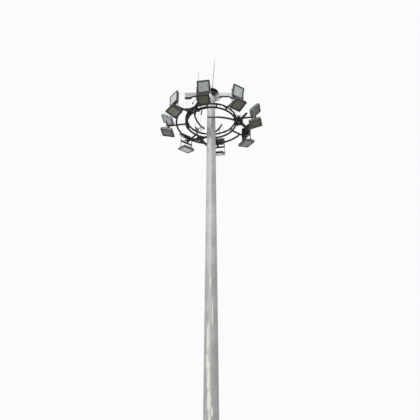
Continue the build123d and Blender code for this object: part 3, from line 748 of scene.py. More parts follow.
def dress_lamp(lamp):
    """Trim, seal, diode boards under the pane, lenses, screws and a pin nut of one floodlight."""
    name, pane_half = lamp.name, glazing_half(lamp)
    trim_width = lamp.half - pane_half - 0.005
    trim_at = lamp.at(lamp.front - 0.0005)
    trim = border(trim_at, lamp.axes, lamp.half - 0.003, trim_width, TRIM_HEIGHT, TRIM_CORNER)
    finish = TRIM_PALE if name in PALE_TRIMS else TRIM_GREY if name in GREY_TRIMS else TRIM
    piece(f"{name}_trim", [trim], finish, lamp.body)
    seal_width = WIDE_SEALS.get(name, SEAL_WIDTHS[lamp.row])
    seal_at = lamp.at(lamp.front - LAMP_SEAT + SEAL_RISE)
    seal = border(seal_at, lamp.axes, pane_half + 0.0005, seal_width, SEAL_HEIGHT, SEAL_CORNER)
    piece(f"{name}_seal", [seal], RUBBER, lamp.body)

    flat = np.stack([lamp.side, lamp.up, lamp.aim])
    floor_at = lamp.front - BOARD_FLOOR
    board_half = pane_half - BOARD_EDGE
    backing_size = (2 * board_half, 2 * board_half, BOARD_THICK)
    backing = slab(lamp.at(floor_at + 0.0012), flat, backing_size, 0.006, 0.0004)
    quarters = [(s * lamp.side + u * lamp.up) * board_half / 2 for s, u in QUARTERS]
    board_at = lamp.at(floor_at + 0.0032)
    board_size = (board_half - BOARD_GAP, board_half - BOARD_GAP, BOARD_THICK)
    boards = [slab(board_at + quarter, flat, board_size, 0.010, 0.0004) for quarter in quarters]
    # The boards' colour, and the lenses' colour made from it, carry the painted light, shade and ground reflection
    # of the lamp table.
    board_finish = plain(f"diode boards of {name}", lamp.boards, 0.5, 0.0, 200, 0.07)
    piece(f"{name}_boards", [backing] + boards, board_finish, lamp.body)
    spots = grid(lamp.side, lamp.up, LENSES, (board_half - LENS_EDGE) / LENSES)
    lenses = repeated(lathe(LENS, lamp.at(floor_at + 0.0042), lamp.aim, 12),
                      np.concatenate([spots + quarter for quarter in quarters]))
    lens_colour = tuple(min(255, value * 1.04 + 4) for value in lamp.boards)
    lens_finish = plain(f"diode lenses of {name}", lens_colour, 0.2, 0.0, 200, 0.05)
    piece(f"{name}_lenses", [lenses], lens_finish, lamp.body, 60)

    spread = lamp.half - SCREW_EDGE
    screws = repeated(lathe(SOCKET_SCREW, lamp.at(lamp.front + 0.0018), lamp.aim, 14),
                      [(s * lamp.side + u * lamp.up) * spread for s, u in SCREW_SPOTS])
    pin_nut = nut(lamp.at(0, lamp.pin_reach), lamp.side, PIN_NUT, 0.3)
    piece(f"{name}_screws", [screws, pin_nut], BOLT_ZINC, lamp.body)


for lamp in LAMPS:
    dress_lamp(lamp)


# ================================================================ yokes, leads and ties
STRAP_SKIN = 0.0073     # from a tilt pin's head back to the yoke's strap
YOKE_BASE = 0.025       # from the arms' centre height to the free face of a yoke's base
LEAD = 0.0052           # a lamp lead's radius
STRAP_TIES = (0.085, 0.155)         # from a tilt pin along the strap to its ties
BASE_BOLTS = (-0.13, 0.13)          # a yoke base's bolts, either side of its middle
HANGING_LEAD = "lower_light_7"      # the lamp whose lead hangs in a loop, with its plug at the bottom
# Lathed profiles: (radius, distance along the axis).
LEAD_PLUG = ((0.007, 0), (0.015, 0.004), (0.0175, 0.012), (0.0175, 0.058), (0.013, 0.066), (0.008, 0.074))
LAMP_GLAND = ((0.011, 0), (0.011, 0.008), (0.0085, 0.009), (0.0085, 0.015), (0.006, 0.019))
YOKE_BOLT = ((0.0135, 0), (0.0135, 0.001), (0.0092, 0.001), (0.0092, 0.0052), (0.0078, 0.006))
# Waypoints of the hanging lead, from its lamp's pin: out past the pin's head, and up.
HANGING_LOOP = ((0.045, -0.012), (0.100, -0.050), (0.128, -0.105), (0.108, -0.150), (0.072, -0.110),
                (0.040, -0.020))
# Waypoints of every lead along the crossbar, from its middle: out along the bar, and in behind it.
CROSSBAR_RUN = ((0.205, 0.026), (0.130, 0.0275), (0.060, 0.030), (0.030, 0.055), (0.028, 0.095))


def down_from(lamp):
    """The direction from a lamp's pin to the radial arms: down from an upper lamp, up from a lower one."""
    return -UP if lamp.row == "upper" else UP


def lead_corners(lamp):
    """A lamp's lead: out of its hollow tilt pin, down the yoke, and in along the crossbar to the arm."""
    down = down_from(lamp)
    out, inward = -lamp.side, -outward(lamp.angle)
    strap = lamp.pin_reach - STRAP_SKIN + 0.006
    corners = [lamp.at(0, -lamp.pin_reach - 0.012)]
    if lamp.name == HANGING_LEAD:
        corners += [lamp.pin + out * (lamp.pin_reach + away) + UP * rise for away, rise in HANGING_LOOP]
        beside = ((strap, 0.095), (strap, 0.17))
    else:
        beside = ((lamp.pin_reach + 0.030, 0.008), (lamp.pin_reach + 0.024, 0.040), (strap + 0.004, 0.072),
                  (strap, 0.11), (strap, 0.17))
    corners += [lamp.pin + out * away + down * drop for away, drop in beside]
    foot = lamp.pin + down * (ARM_DROP - 0.007)
    corners += [foot + out * away + inward * behind for away, behind in ((strap + 0.003, 0.0), *CROSSBAR_RUN)]
    return np.array(corners)


def flat_loop(centre, along, across, half_along, half_across, count=28):
    """A rounded band's path: a superellipse of power four in the plane of two directions.

    At each angle t it reaches the root of the size of cos(t) times half_along one way and the root
    of the size of sin(t) times half_across the other, each with its own sign.
    """
    turn = (np.arange(count) * 2 * pi / count)[:, None]
    c, s = np.cos(turn), np.sin(turn)
    return (np.asarray(centre, float) + np.sign(c) * np.abs(c) ** 0.5 * half_along * along
            + np.sign(s) * np.abs(s) ** 0.5 * half_across * across)


def tie_head(centre, along, across):
    """The small square head of a nylon tie."""
    rows = np.stack([along, across, np.cross(along, across)])
    return slab(centre, rows, (0.006, 0.008, 0.007), 0.001, 0.0006)


def tie(centre, along, across, half_along, half_across, radius=0.0024):
    """A nylon tie round a bundle, with its head."""
    band = tube(flat_loop(centre, along, across, half_along, half_across), radius, 6, closed=True)
    return [band, tie_head(np.asarray(centre, float) + along * (half_along + 0.002), along, across)]


def taut(centre, along, across, rounds, radius):
    """A tie pulled tight round a bundle, with its head.

    rounds lists (x, y, r) of each cable in the section. Towards each angle t the tie lies on the
    round that reaches farthest, where x * cos(t) + y * sin(t) + r is greatest, so it runs straight
    from one to the next.
    """
    rounds = np.asarray(rounds, float)
    turn = (np.arange(36) + 0.5) * 2 * pi / 36
    facing = np.stack([np.cos(turn), np.sin(turn)], 1)
    outermost = rounds[(facing @ rounds[:, :2].T + rounds[:, 2]).argmax(axis=1)]
    flat = outermost[:, :2] + (outermost[:, 2:] + radius * 0.8) * facing
    loop = np.asarray(centre, float) + flat[:, :1] * along + flat[:, 1:] * across
    return [tube(loop, radius, 6, closed=True), tie_head(loop[0] + along * 0.001, along, across)]


leads, ties, glands, yoke_bolts = [], [], [], []
for lamp in LAMPS:
    down, away = down_from(lamp), outward(lamp.angle)
    path = smooth_path(lead_corners(lamp), 90)
    leads.append(tube(path, LEAD, 8))
    if lamp.name == HANGING_LEAD:
        plug_at = path[path[:, 2].argmin()] + UP * 0.062
        glands.append(lathe(LEAD_PLUG, plug_at, -UP - lamp.side * 0.25, 16))
    glands.append(lathe(LAMP_GLAND, lamp.at(0, -lamp.pin_reach - 0.0008), -lamp.side, 6))
    for drop in STRAP_TIES:
        strap_at = lamp.pin + down * drop - lamp.side * (lamp.pin_reach - STRAP_SKIN + 0.003)
        ties += tie(strap_at, -lamp.side, away, 0.0095, 0.0205, 0.0018)
    for shift in BASE_BOLTS:
        seat = lamp.pin + down * (ARM_DROP - YOKE_BASE) + lamp.side * shift
        yoke_bolts.append(lathe(YOKE_BOLT, seat, -down, 6))
piece("lamp_cables", leads, CABLE_GREY, "carriage")
piece("lamp_cable_glands", glands, RUBBER, "carriage")
piece("yoke_bolts", yoke_bolts, BOLT_ZINC, "carriage")


# ================================================================ radial arms on the rings
ARM_CABLE = 0.0050      # an arm cable's radius
ARM_CABLE_OFF = 0.0065  # from an arm's side out to the middles of its cables
ARM_STRANDS = ((-1, 0.005), (-1, -0.009), (1, 0.002))   # each cable's side of the arm, and its height
ARM_TIE_PITCH = 0.115
U_BOLT = 0.004          # radius of a U-bolt's rod
U_BOLT_SPREAD = 0.031   # from an arm's middle to each of its U-bolts
U_BOLT_LEG = np.array([[0.038], [0.020]])   # a leg past the ring's middle: its end, and a point on the way
CLAMP_PLATE = (0.070, 0.086, 0.006)
CLAMP_NUT, CLAMP_NUT_DROP = 0.0068, 0.0275  # half its width over corners, and its place on a leg
arm_cables, u_bolts, clamps, clamp_nuts = [], [], [], []
for station, angle in enumerate(STATION_ANGLES):
    away, across = outward(angle), around(angle)
    run = np.linspace(STATION_REACH - 0.08, INNER + 0.02, 40)
    sag = 0.006 * np.sin(np.linspace(0, 5 * pi, 40) + station)
    sway = 0.002 * np.cos(np.linspace(0, 7 * pi, 40) + 2 * station)
    for side, height in ARM_STRANDS:
        local = np.stack([run, side * (ARM_HALF + ARM_CABLE_OFF + sway), ARM_MIDDLE + height + sag], 1)
        arm_cables.append(tube(local @ rows_at(angle), ARM_CABLE, 7))
    for distance in np.arange(INNER + 0.09, STATION_REACH - 0.09, ARM_TIE_PITCH):
        ties += tie(polar(distance, angle, ARM_MIDDLE), across, UP, ARM_HALF + 0.0125, ARM_HALF + 0.003)
    for level, side in ((UPPER_LEVEL, 1), (LOWER_LEVEL, -1)):
        over = side * UP
        for shift in (-U_BOLT_SPREAD, U_BOLT_SPREAD):
            bend = np.linspace(0, pi, 20)[:, None]
            bow = (polar(INNER, angle, level) + across * shift
                   + (TUBE + U_BOLT) * (np.cos(bend) * away + np.sin(bend) * over))
            bolt_path = np.concatenate([bow[0] - U_BOLT_LEG * over, bow, bow[-1] - U_BOLT_LEG[::-1] * over])
            u_bolts.append(tube(bolt_path, U_BOLT, 8))
            for foot in (bow[0], bow[-1]):
                clamp_nuts.append(nut(foot - over * CLAMP_NUT_DROP, -over, CLAMP_NUT, 0.4))
        plate_at = polar(INNER, angle, level - side * (TUBE + 0.0035))
        clamps.append(slab(plate_at, rows_at(angle), CLAMP_PLATE, 0.006, 0.001))
piece("arm_cables", arm_cables, CABLE_BLACK, "carriage")
piece("ring_clamp_bolts", u_bolts + clamp_nuts, BOLT_ZINC, "carriage")
piece("ring_clamp_plates", clamps, LUG_ZINC, "carriage")


# ================================================================ looms round the rings
def ring_path(level, radius, start, stop, turns, phase, swing, count):
    """A cable that winds loosely along a ring.

    Its radius and height swing as (cos, sin) of turns times the angle gone round, plus the phase.
    """
    angle = np.linspace(start, stop, count)
    wind = turns * (angle - start) + phase
    distance = radius + swing * np.cos(wind)
    return np.stack([distance * np.cos(angle), distance * np.sin(angle), level + swing * np.sin(wind)], 1)


def wind_loom(level, radius, core, span, strands, every, count, band=0.0019):
    """Cables wound on a ring, and a tie of band radius every so many radians.

    Each strand is (turns, phase, swing, its radius), with count points along it.
    """
    for turns, phase, swing, thick in strands:
        looms.append(tube(ring_path(level, radius, *span, turns, phase, swing, count), thick, 7))
    turns, phase, swing, thick = np.array(strands).T
    for angle in np.arange(span[0] + every / 2, span[1], every):
        wind = turns * (angle - span[0]) + phase
        section = np.stack([swing * np.cos(wind), swing * np.sin(wind), thick], 1)
        rounds = np.concatenate([[(0, 0, core)], section])
        ties.extend(taut(polar(radius, angle, level), outward(angle), UP, rounds, band))


looms = []
THICK = (radians(158), radians(262))        # where each inner ring's loom is thick
THIN = (THICK[1] - 2 * pi, THICK[0])
OUTER_SPAN = (radians(35), radians(216))    # where the half ring carries one
THICK_STRANDS = [(11 + n % 3, n * 2 * pi / 9, TUBE + 0.013, 0.0125) for n in range(9)]
THIN_STRANDS = [(9, 1.25 * n, TUBE + 0.0055, 0.0068) for n in range(5)]
OUTER_STRANDS = [(9, 1.25 * n, OUTER_TUBE + 0.006, 0.0075) for n in range(5)]
for level, thin_count in ((LOWER_LEVEL, 5), (UPPER_LEVEL, 4)):
    wind_loom(level, INNER, TUBE, THICK, THICK_STRANDS, every=0.095, count=220, band=0.0030)
    wind_loom(level, INNER, TUBE, THIN, THIN_STRANDS[:thin_count], every=0.19, count=420)
wind_loom(LOWER_LEVEL, OUTER, OUTER_TUBE, OUTER_SPAN, OUTER_STRANDS, every=0.16, count=300)
piece("cable_looms", looms, CABLE_BLACK, "carriage")


# ================================================================ knees, braces and guide arms
KNEE_TOP, KNEE_BASE = high("knee_plates")[2], low("knee_plates")[2]
PLUG_REACH = float(np.hypot(points_of("hanging_plugs")[:, 0], points_of("hanging_plugs")[:, 1]).mean())
GUIDE_ROOT = PLUG_REACH + 0.06              # a guide arm's pivot on its knee
GUIDE_TIP = np.array([-0.05, -0.34])        # its free end: away from the mast, and round it
GUIDE_BEND = 1.37                           # its bending radius
BRACE_TURN, BRACE_REACH, BRACE_ROOT = radians(20), 1.24, 0.95   # a brace's turn from its knee, and its run
KNEE_BOLTS = ((-0.040, -0.10), (-0.040, 0.10), (0.045, -0.09), (0.045, 0.09))   # from the ring: out and round
BRACE_CABLE = 0.0058    # a brace cable's radius
CABLE_SPAN = (0.12, 0.86)           # the shares of a brace's length that its cables start and stop at
TIE_SPAN = (0.15, 0.84)             # and its ties
TIE_PITCH, DENSE_TIE_PITCH = 0.075, 0.028
DENSE_TIES = (0, 1)     # the knee and the side whose brace is tied most closely
TEST_SOCKET = ((0.013, 0), (0.013, 0.105), (0.020, 0.112), (0.020, 0.270), (0.014, 0.284))
# Splices under a knee: where each starts and stops going out, its place round the mast, its radius.
SPLICES = ((0.775, 0.995, 0.072, 0.029), (0.800, 0.975, 0.122, 0.023), (0.945, 1.030, -0.062, 0.025))

knee_nuts, brace_cables = [], []
for knee, angle in enumerate(KNEE_ANGLES):
    across, through = around(angle), UP * (KNEE_TOP - KNEE_BASE)
    for outer, beside in KNEE_BOLTS:
        spot = polar(INNER + outer, angle, KNEE_TOP) + across * beside
        knee_nuts.append(nut(spot, UP, 0.0105, 0.5))
        knee_nuts.append(nut(spot - through, -UP, 0.0105, 0.2))
    pivot = polar(GUIDE_ROOT, angle, KNEE_TOP)
    knee_nuts.append(nut(pivot, UP, 0.020, 0.6))
    knee_nuts.append(nut(pivot - through - UP * 0.020, -UP, 0.020, 0.3))
    for side in (-1, 1):
        root = polar(BRACE_ROOT, angle, KNEE_TOP + 0.006)
        tip = polar(BRACE_REACH, angle + side * BRACE_TURN, KNEE_TOP + 0.006)
        length = np.linalg.norm(tip - root)
        run = (tip - root) / length
        beside = np.cross(UP, run)
        knee_nuts += [nut(tip - run * back - UP * 0.006, UP, 0.0085, 0.5) for back in (-0.02, 0.035)]
        steps = np.linspace(*CABLE_SPAN, 30)[:, None]
        for strand in (-1, 0, 1):
            sway = 0.004 * np.sin(np.linspace(0, 4 * pi, 30) + strand)[:, None]
            path = root + steps * (tip - root) + beside * (strand * 0.012 + sway)
            brace_cables.append(tube(path, BRACE_CABLE, 7))
        pitch = DENSE_TIE_PITCH if (knee, side) == DENSE_TIES else TIE_PITCH
        for share in np.arange(*TIE_SPAN, pitch / length):
            tie_at = root + share * (tip - root) - UP * 0.0065
            half_width = 0.062 - 0.029 * share      # the brace narrows to its tip
            ties += tie(tie_at, beside, UP, half_width + 0.003, 0.0165, 0.0036)

socket_turn = KNEE_ANGLES[2] + radians(17.3)
seat = polar(INNER + 0.030, socket_turn, LOWER_LEVEL - TUBE - 0.004)
socket_parts = [
    slab(seat, rows_at(socket_turn), (0.11, 0.034, 0.006), 0.008, 0.001),
    lathe(TEST_SOCKET, seat + outward(socket_turn) * 0.030, (-0.16, 0.05, -1.0), 16),
]
piece("knee_and_guide_bolts", knee_nuts, BOLT_ZINC, "carriage")
piece("brace_cables", brace_cables, CABLE_BLACK, "carriage")

splices = []
for angle in KNEE_ANGLES:
    rows = rows_at(angle)
    for start, stop, beside, size in SPLICES:
        length = stop - start
        profile = ((size * 0.4, -0.020), (size * 0.8, -0.012), (size, 0.0), (size, length),
                   (size * 0.8, length + 0.012), (size * 0.4, length + 0.020))
        splice_at = np.array([start, beside, KNEE_BASE - size + 0.001]) @ rows
        splices.append(lathe(profile, splice_at, rows[0], 16))
        for share in (0.25, 0.75):
            centre = np.array([start + share * length, beside, KNEE_BASE - size + 0.008]) @ rows
            ties += tie(centre, rows[1], UP, size + 0.002, size + 0.011, 0.0022)
piece("knee_splices", splices, RUBBER, "carriage")
piece("test_socket", socket_parts, RUBBER, "carriage")


SPRING_RADIUS, SPRING_WIRE, SPRING_TURNS = 0.010, 0.0019, 15
SPRING_REACH = 0.15     # how much farther from the mast its outer post stands than its inner one


def coil(start, stop, radius, wire, turns):
    """A helical spring between two points.

    Each point is the axis point plus the radius times (cos, sin) of the winding angle.
    """
    first, second = square_to((stop - start) / np.linalg.norm(stop - start))
    share = np.linspace(0, 1, int(turns * 14))[:, None]
    turn = share * turns * 2 * pi
    path = start + share * (stop - start) + radius * (np.cos(turn) * first + np.sin(turn) * second)
    return tube(path, wire, 7)


rollers = points_of("guide_rollers")
springs, fork_parts, roller_washers = [], [], []
for angle in KNEE_ANGLES:
    rows = rows_at(angle)
    away, across, _ = rows
    local = rollers @ rows.T
    mine = local[(local[:, 0] < 0) & (local[:, 1] < 0)]     # the roller on this knee's arm
    hub = (mine.min(axis=0) + mine.max(axis=0)) / 2
    half = (mine[:, 0].max() - mine[:, 0].min()) / 2
    centre = hub @ rows
    roller_washers.append(nut(centre - away * (half + 0.0042), -away, 0.008, 0.3))
    roller_washers.append(lathe([(0.0165, 0), (0.0165, 0.0003)], centre + away * (half + 0.00005), away, 20))
    for side in (-half - 0.0025, half + 0.0400):
        cheek = centre + away * side + UP * 0.028
        fork_parts.append(slab(cheek, rows, (0.003, 0.034, 0.050), 0.001, 0.0006))
    bridge = centre + away * 0.019 + UP * 0.054
    fork_parts.append(slab(bridge, rows, (2 * half + 0.046, 0.034, 0.003), 0.004, 0.0006))
    grip = centre + away * (half + 0.075) - across * 0.002
    anchor = grip + away * SPRING_REACH + across * 0.0115
    ends = grip + UP * 0.022, anchor + UP * 0.022
    springs.append(coil(*ends, SPRING_RADIUS, SPRING_WIRE, SPRING_TURNS))
    for end in (grip, anchor):
        fork_parts.append(slab(end + UP * 0.014, rows, (0.014, 0.030, 0.012), 0.003, 0.001))
        fork_parts.append(lathe([(0.006, 0), (0.006, 0.028), (0.004, 0.030)], end + UP * 0.010, UP, 12))

cushions, rings = [], []
root = np.array([GUIDE_ROOT, 0.0])
chord = root - GUIDE_TIP
chord_length = np.linalg.norm(chord)
bend_hub = (root + GUIDE_TIP) / 2 + np.array([-chord[1], chord[0]]) / chord_length * np.sqrt(
    GUIDE_BEND**2 - chord_length**2 / 4)
tip_turn, root_turn = (atan2(*(end - bend_hub)[::-1]) for end in (GUIDE_TIP, root))
turn = np.linspace(tip_turn + 0.19, root_turn - 0.10, 80)
arc = bend_hub + GUIDE_BEND * np.stack([np.cos(turn), np.sin(turn)], 1)
hang = tip_turn + 0.150 / GUIDE_BEND
hook = bend_hub + GUIDE_BEND * np.array([cos(hang), sin(hang)])
for angle in KNEE_ANGLES:
    rows = rows_at(angle)
    for lift, tip_width, root_width in ((0.010, 0.020, 0.030), (0.024, 0.013, 0.022)):
        path = np.column_stack([arc, np.full(80, KNEE_BASE + lift - 0.004)]) @ rows
        cushions.append(tube(path, np.linspace(tip_width, root_width, 80), 10))
    hook_at = np.array([*hook, KNEE_BASE - 0.030]) @ rows
    along_arm = np.array([-sin(hang), cos(hang), 0.0]) @ rows
    shackle = flat_loop(hook_at, np.cross(UP, along_arm), UP, 0.024, 0.042, 24)
    oblong = flat_loop(hook_at - UP * 0.102, along_arm, UP, 0.036, 0.066, 32)
    rings += [tube(shackle, 0.0048, 8, closed=True), tube(oblong, 0.0068, 9, closed=True)]
piece("guide_arm_cushions", cushions, RUBBER, "carriage")
piece("pulling_rings", rings, RING_STEEL, "carriage")
piece("guide_springs", springs, SPRING, "carriage", 60)
piece("roller_washers_and_spring_posts", roller_washers + fork_parts, BOLT_ZINC, "carriage")


# ================================================================ stays across the rings
STAY_EYE = 0.125        # height of the stays' eyes over their bracket's foot
STAY_SPREAD = 0.075     # from the bracket's middle out to each eye
STAY_WIRE = 0.0035      # a stay wire's radius
BRACKET_FOOT, BRACKET_UPRIGHT = (0.060, 0.20, 0.008), (0.016, 0.15, 0.140)
TURNBUCKLE = ((0.006, 0.028), (0.011, 0.032), (0.011, 0.085), (0.006, 0.105))
SWAGE = ((0.007, -0.045), (0.007, 0.0), (0.004, 0.004))
anchor_turn, foot_turn, strut_turn = radians(126), radians(251), radians(282)

bracket = polar(INNER, anchor_turn, UPPER_LEVEL + TUBE - 0.003)
bracket_rows = rows_at(anchor_turn)
stays = []
stay_parts = [slab(bracket + UP * 0.004, bracket_rows, BRACKET_FOOT, 0.012, 0.002),
              slab(bracket + UP * 0.075, bracket_rows, BRACKET_UPRIGHT, 0.007, 0.002)]
for side in (-1, 1):
    sideways = bracket_rows[1] * side
    eye = bracket + sideways * STAY_SPREAD + UP * STAY_EYE
    foot = polar(INNER + 0.012, foot_turn - side * 0.035, UPPER_LEVEL + TUBE + 0.012)
    pull = (foot - eye) / np.linalg.norm(foot - eye)
    stays.append(tube(np.array([eye + pull * 0.10, (eye + foot) / 2, foot - pull * 0.04]), STAY_WIRE, 8))
    stay_parts.append(tube(circle(eye + pull * 0.014, bracket_rows[1], 0.017, 24), 0.0055, 8, closed=True))
    stay_parts.append(lathe(TURNBUCKLE, eye, pull, 12))
    stay_parts.append(nut(bracket + sideways * 0.082 + UP * 0.008, UP, 0.010, 0.8))
    stay_parts.append(lathe(SWAGE, foot, pull, 12))
    stay_parts.append(tube(circle(foot - UP * 0.002 + pull * 0.004, UP, 0.013, 20), 0.005, 8, closed=True))
piece("stay_wires", stays, WIRE, "carriage")
piece("stay_fittings", stay_parts, LUG_ZINC, "carriage")
strut_size = (0.030, 0.055, UPPER_LEVEL - LOWER_LEVEL - 2 * TUBE + 0.006)
strut_at = polar(INNER, strut_turn, (LOWER_LEVEL + UPPER_LEVEL) / 2)
piece("ring_strut", [slab(strut_at, rows_at(strut_turn), strut_size, 0.008, 0.002)], DARK_STEEL, "carriage")

piece("cable_ties", ties, TIE_BLACK, "carriage")


# ================================================================ junction box
BOX_CABLE = 0.0050      # the radius of its cables
GLAND_SHARES = (0.22, 0.5, 0.78)    # its glands' places, as shares of the box's side
BOX_GLAND = ((0.0115, 0), (0.0115, 0.007), (0.009, 0.008), (0.009, 0.016), (0.0062, 0.021))
box_rows = rows_at(STATION_ANGLES[0])
box_local = points_of("junction_box") @ box_rows.T
box_low = box_local.min(axis=0)
box_span = box_local.max(axis=0) - box_low


def on_box(x, y, z):
    """A point of the junction box from its own low corner, as shares of its sides."""
    return (box_low + box_span * [x, y, z]) @ box_rows


lid_size = (box_span[0] + 0.006, box_span[1] + 0.006, 0.005)
lid = slab(on_box(0.5, 0.5, 1.0) + UP * 0.002, box_rows, lid_size, 0.011, 0.0015)
piece("junction_box_lid", [lid], BOX_GREY, "carriage")
box_screws = [nut(on_box(x, y, 1.0) + UP * 0.0042, UP, 0.0048, 0.1) for x in (0.1, 0.9) for y in (0.12, 0.88)]
piece("junction_box_screws", box_screws, BOLT_ZINC, "carriage")
box_glands, box_cables = [], []
for face, out in ((0.0, -box_rows[1]), (1.0, box_rows[1])):
    for x in GLAND_SHARES:
        mouth = on_box(x, face, 0.38)
        box_glands.append(lathe(BOX_GLAND, mouth, out, 6))
        drop = mouth + out * (0.05 + 0.02 * x) - UP * 0.035
        end = drop - box_rows[0] * 0.07 * (x + 0.3) + out * 0.035 - UP * 0.012
        route = smooth_path([mouth + out * 0.014, mouth + out * 0.038, drop, end], 36)
        box_cables.append(tube(route, BOX_CABLE, 8))
piece("junction_box_glands", box_glands, LUG_ZINC, "carriage")
piece("junction_box_cables", box_cables, CABLE_GREY, "carriage")


# ================================================================ ropes, lugs and sockets
LUG_TOP = high("rope_lugs")[2]
ROPE_LOW, ROPE_HIGH = low("suspension_ropes")[2], high("suspension_ropes")[2]
ROPE = float(high("suspension_ropes")[1])       # the rope's radius
ROPE_X = float(high("suspension_ropes")[0]) - ROPE
LAY = 0.075             # the length in which a strand goes once round the rope
STRAND_REACH, STRAND = 0.62, 0.37   # a strand's middle and its radius, as shares of the rope's radius
LUG_PIN_DROP = 0.110    # from a lug's top to its pin
SOCKET_COLLAR = ((0.0105, -0.012), (0.0105, -0.001), (0.0085, 0.0))


def stranded(x, bottom, top):
    """A six-strand rope: every strand's middle goes once round the rope for each lay length."""
    z = np.linspace(bottom, top, 130)
    strands = []
    for strand in range(6):
        turn = 2 * pi * (z - bottom) / LAY + strand * pi / 3
        wound = STRAND_REACH * ROPE
        path = np.stack([x + wound * np.cos(turn), wound * np.sin(turn), z], 1)
        strands.append(tube(path, STRAND * ROPE, 6))
    return strands


for side, label in ((1, "right"), (-1, "left")):
    rope = piece(f"{label}_hanging_rope", stranded(side * ROPE_X, ROPE_LOW, ROPE_HIGH), WIRE, None, 60)
    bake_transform(rope)
    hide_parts("suspension_ropes")
lug_parts = []
bead_line = np.linspace([0, -0.028, 0], [0, 0.028, 0], 30)
for x in (ROPE_X, -ROPE_X):
    lug_parts.append(lathe(SOCKET_COLLAR, (x, 0, ROPE_LOW), UP, 16))
    eye = np.array([x, 0.0, LUG_TOP - LUG_PIN_DROP])
    lug_parts.append(lathe([(0.009, -0.030), (0.009, 0.030)], eye, (1, 0, 0), 16))
    lug_parts.append(nut(eye + [0.015, 0, 0], (1, 0, 0), 0.013, 0.3))
    lug_parts.append(nut(eye - [0.015, 0, 0], (-1, 0, 0), 0.013, 0.1))
    for beside in (-0.0150, 0.0150):
        lug_parts.append(bead(bead_line + [x + beside, 0, UPPER_LEVEL + TUBE - 0.001], 0.003))
piece("rope_sockets_and_pins", lug_parts, LUG_ZINC, "carriage")


# ================================================================ head frame
HUB_LOW = low("head_hub")[2]
HUB_REACH = high("head_hub")[0]
ARM_HALF_WIDTH = 0.042  # of a head arm
ARM_BOLTS = (0.40, 0.56)            # from the mast's axis to the bolts through a head arm
SHEAVE_LEVEL = middle("head_sheaves")[2]
SHEAVE_X = high("head_sheaves")[0] - (high("head_sheaves")[2] - low("head_sheaves")[2]) / 2
HUB_BOLT_TURNS = np.radians([45, 90, 135, 225, 270, 315])
HUB_BOLT_RISES = (0.035, 0.165)     # from the hub's lower edge to its two rows of bolts
ARM_ROOT = 0.31         # depth of a head arm where it meets the hub
# Lathed profiles: (radius, distance along the axis).
PIN_CAP = ((0.019, 0), (0.019, 0.003))
SPLIT_PIN = ((0.0025, -0.020), (0.0025, 0.020))
THROUGH_BOLT = ((0.006, -0.048), (0.006, 0.048))
HOOD_GLAND = ((0.018, 0), (0.018, 0.03), (0.013, 0.034), (0.013, 0.060))
HOOD, HOOD_RIM = (0.150, 0.165, 0.062), (0.176, 0.180, 0.008)
# The conduit under a head arm, black so that it also stands for the shade along the arm's arched underside
# (painted shade): distance from the mast's axis, and depth below the arm's top.
CONDUIT = np.array([
    (0.146, 0.352), (0.200, 0.346), (0.247, 0.316), (0.300, 0.246), (0.357, 0.192), (0.410, 0.172),
    (0.463, 0.165), (0.520, 0.163), (0.580, 0.167), (0.635, 0.182), (0.680, 0.205), (0.725, 0.222),
    (0.800, 0.220), (0.858, 0.213),
])
CONDUIT_RADIUS = 0.0125
# Its distance from the mast's axis, and how far it then lies in front of the arm's middle.
CONDUIT_FRONT = ((0.0, 0.20, 0.60, 0.70), (0.030, 0.040, 0.044, ARM_HALF_WIDTH + CONDUIT_RADIUS))
CONDUIT_CLIPS = ((0.43, 0.155), (0.56, 0.153), (0.75, 0.212))       # distance and depth, as the conduit's
CLIP = (0.022, 0.006, 0.060)

hub_bolts, head_beads, head_cables_and_arm_shade = [], [], []
for rise in HUB_BOLT_RISES:
    for turn in HUB_BOLT_TURNS:
        hub_bolts.append(nut(polar(HUB_REACH - 0.0005, turn, HUB_LOW + rise), outward(turn), 0.012, 0.9))
head_beads.append(bead(circle((0, 0, HUB_LOW + 0.001), UP, HUB_REACH - 0.002, 160), 0.003, closed=True))
for side in (1, -1):
    root = np.array([side * (HUB_REACH + 0.001), 0.0, ARM_TOP])
    for y in (-ARM_HALF_WIDTH, ARM_HALF_WIDTH):
        head_beads.append(bead(np.linspace(root + [0, y, -ARM_ROOT], root + [0, y, -0.005], 60), 0.0035))
    top_edge = np.linspace(root + [0, -ARM_HALF_WIDTH, -0.0005], root + [0, ARM_HALF_WIDTH, -0.0005], 30)
    head_beads.append(bead(top_edge, 0.003))
    for y in (-1, 1):
        pin_end = np.array([side * SHEAVE_X, y * ARM_HALF_WIDTH, SHEAVE_LEVEL])
        hub_bolts.append(lathe(PIN_CAP, pin_end, (0, y, 0), 20))
        hub_bolts.append(lathe(SPLIT_PIN, pin_end + [0, y * 0.0055, 0], UP, 8))
    for x in ARM_BOLTS:
        through = np.array([side * x, 0, ARM_TOP - 0.125])
        hub_bolts.append(lathe(THROUGH_BOLT, through, (0, 1, 0), 12))
        hub_bolts += [nut(through + [0, y * ARM_HALF_WIDTH, 0], (0, y, 0), 0.009, 0.4) for y in (-1, 1)]
    front = -np.interp(CONDUIT[:, 0], *CONDUIT_FRONT)
    route = np.stack([side * CONDUIT[:, 0], front, ARM_TOP - CONDUIT[:, 1]], 1)
    head_cables_and_arm_shade.append(tube(smooth_path(route, 90), CONDUIT_RADIUS, 10))
    for x, drop in CONDUIT_CLIPS:
        clip_at = (side * x, -ARM_HALF_WIDTH - 0.001, ARM_TOP - drop)
        hub_bolts.append(slab(clip_at, np.eye(3), CLIP, 0.002, 0.0008))
piece("head_cables_and_arm_shade", head_cables_and_arm_shade, CABLE_BLACK, "mast")
piece("head_bolts_and_pins", hub_bolts, BOLT_ZINC, "mast")
piece("head_weld_beads", head_beads, WELD, "mast")

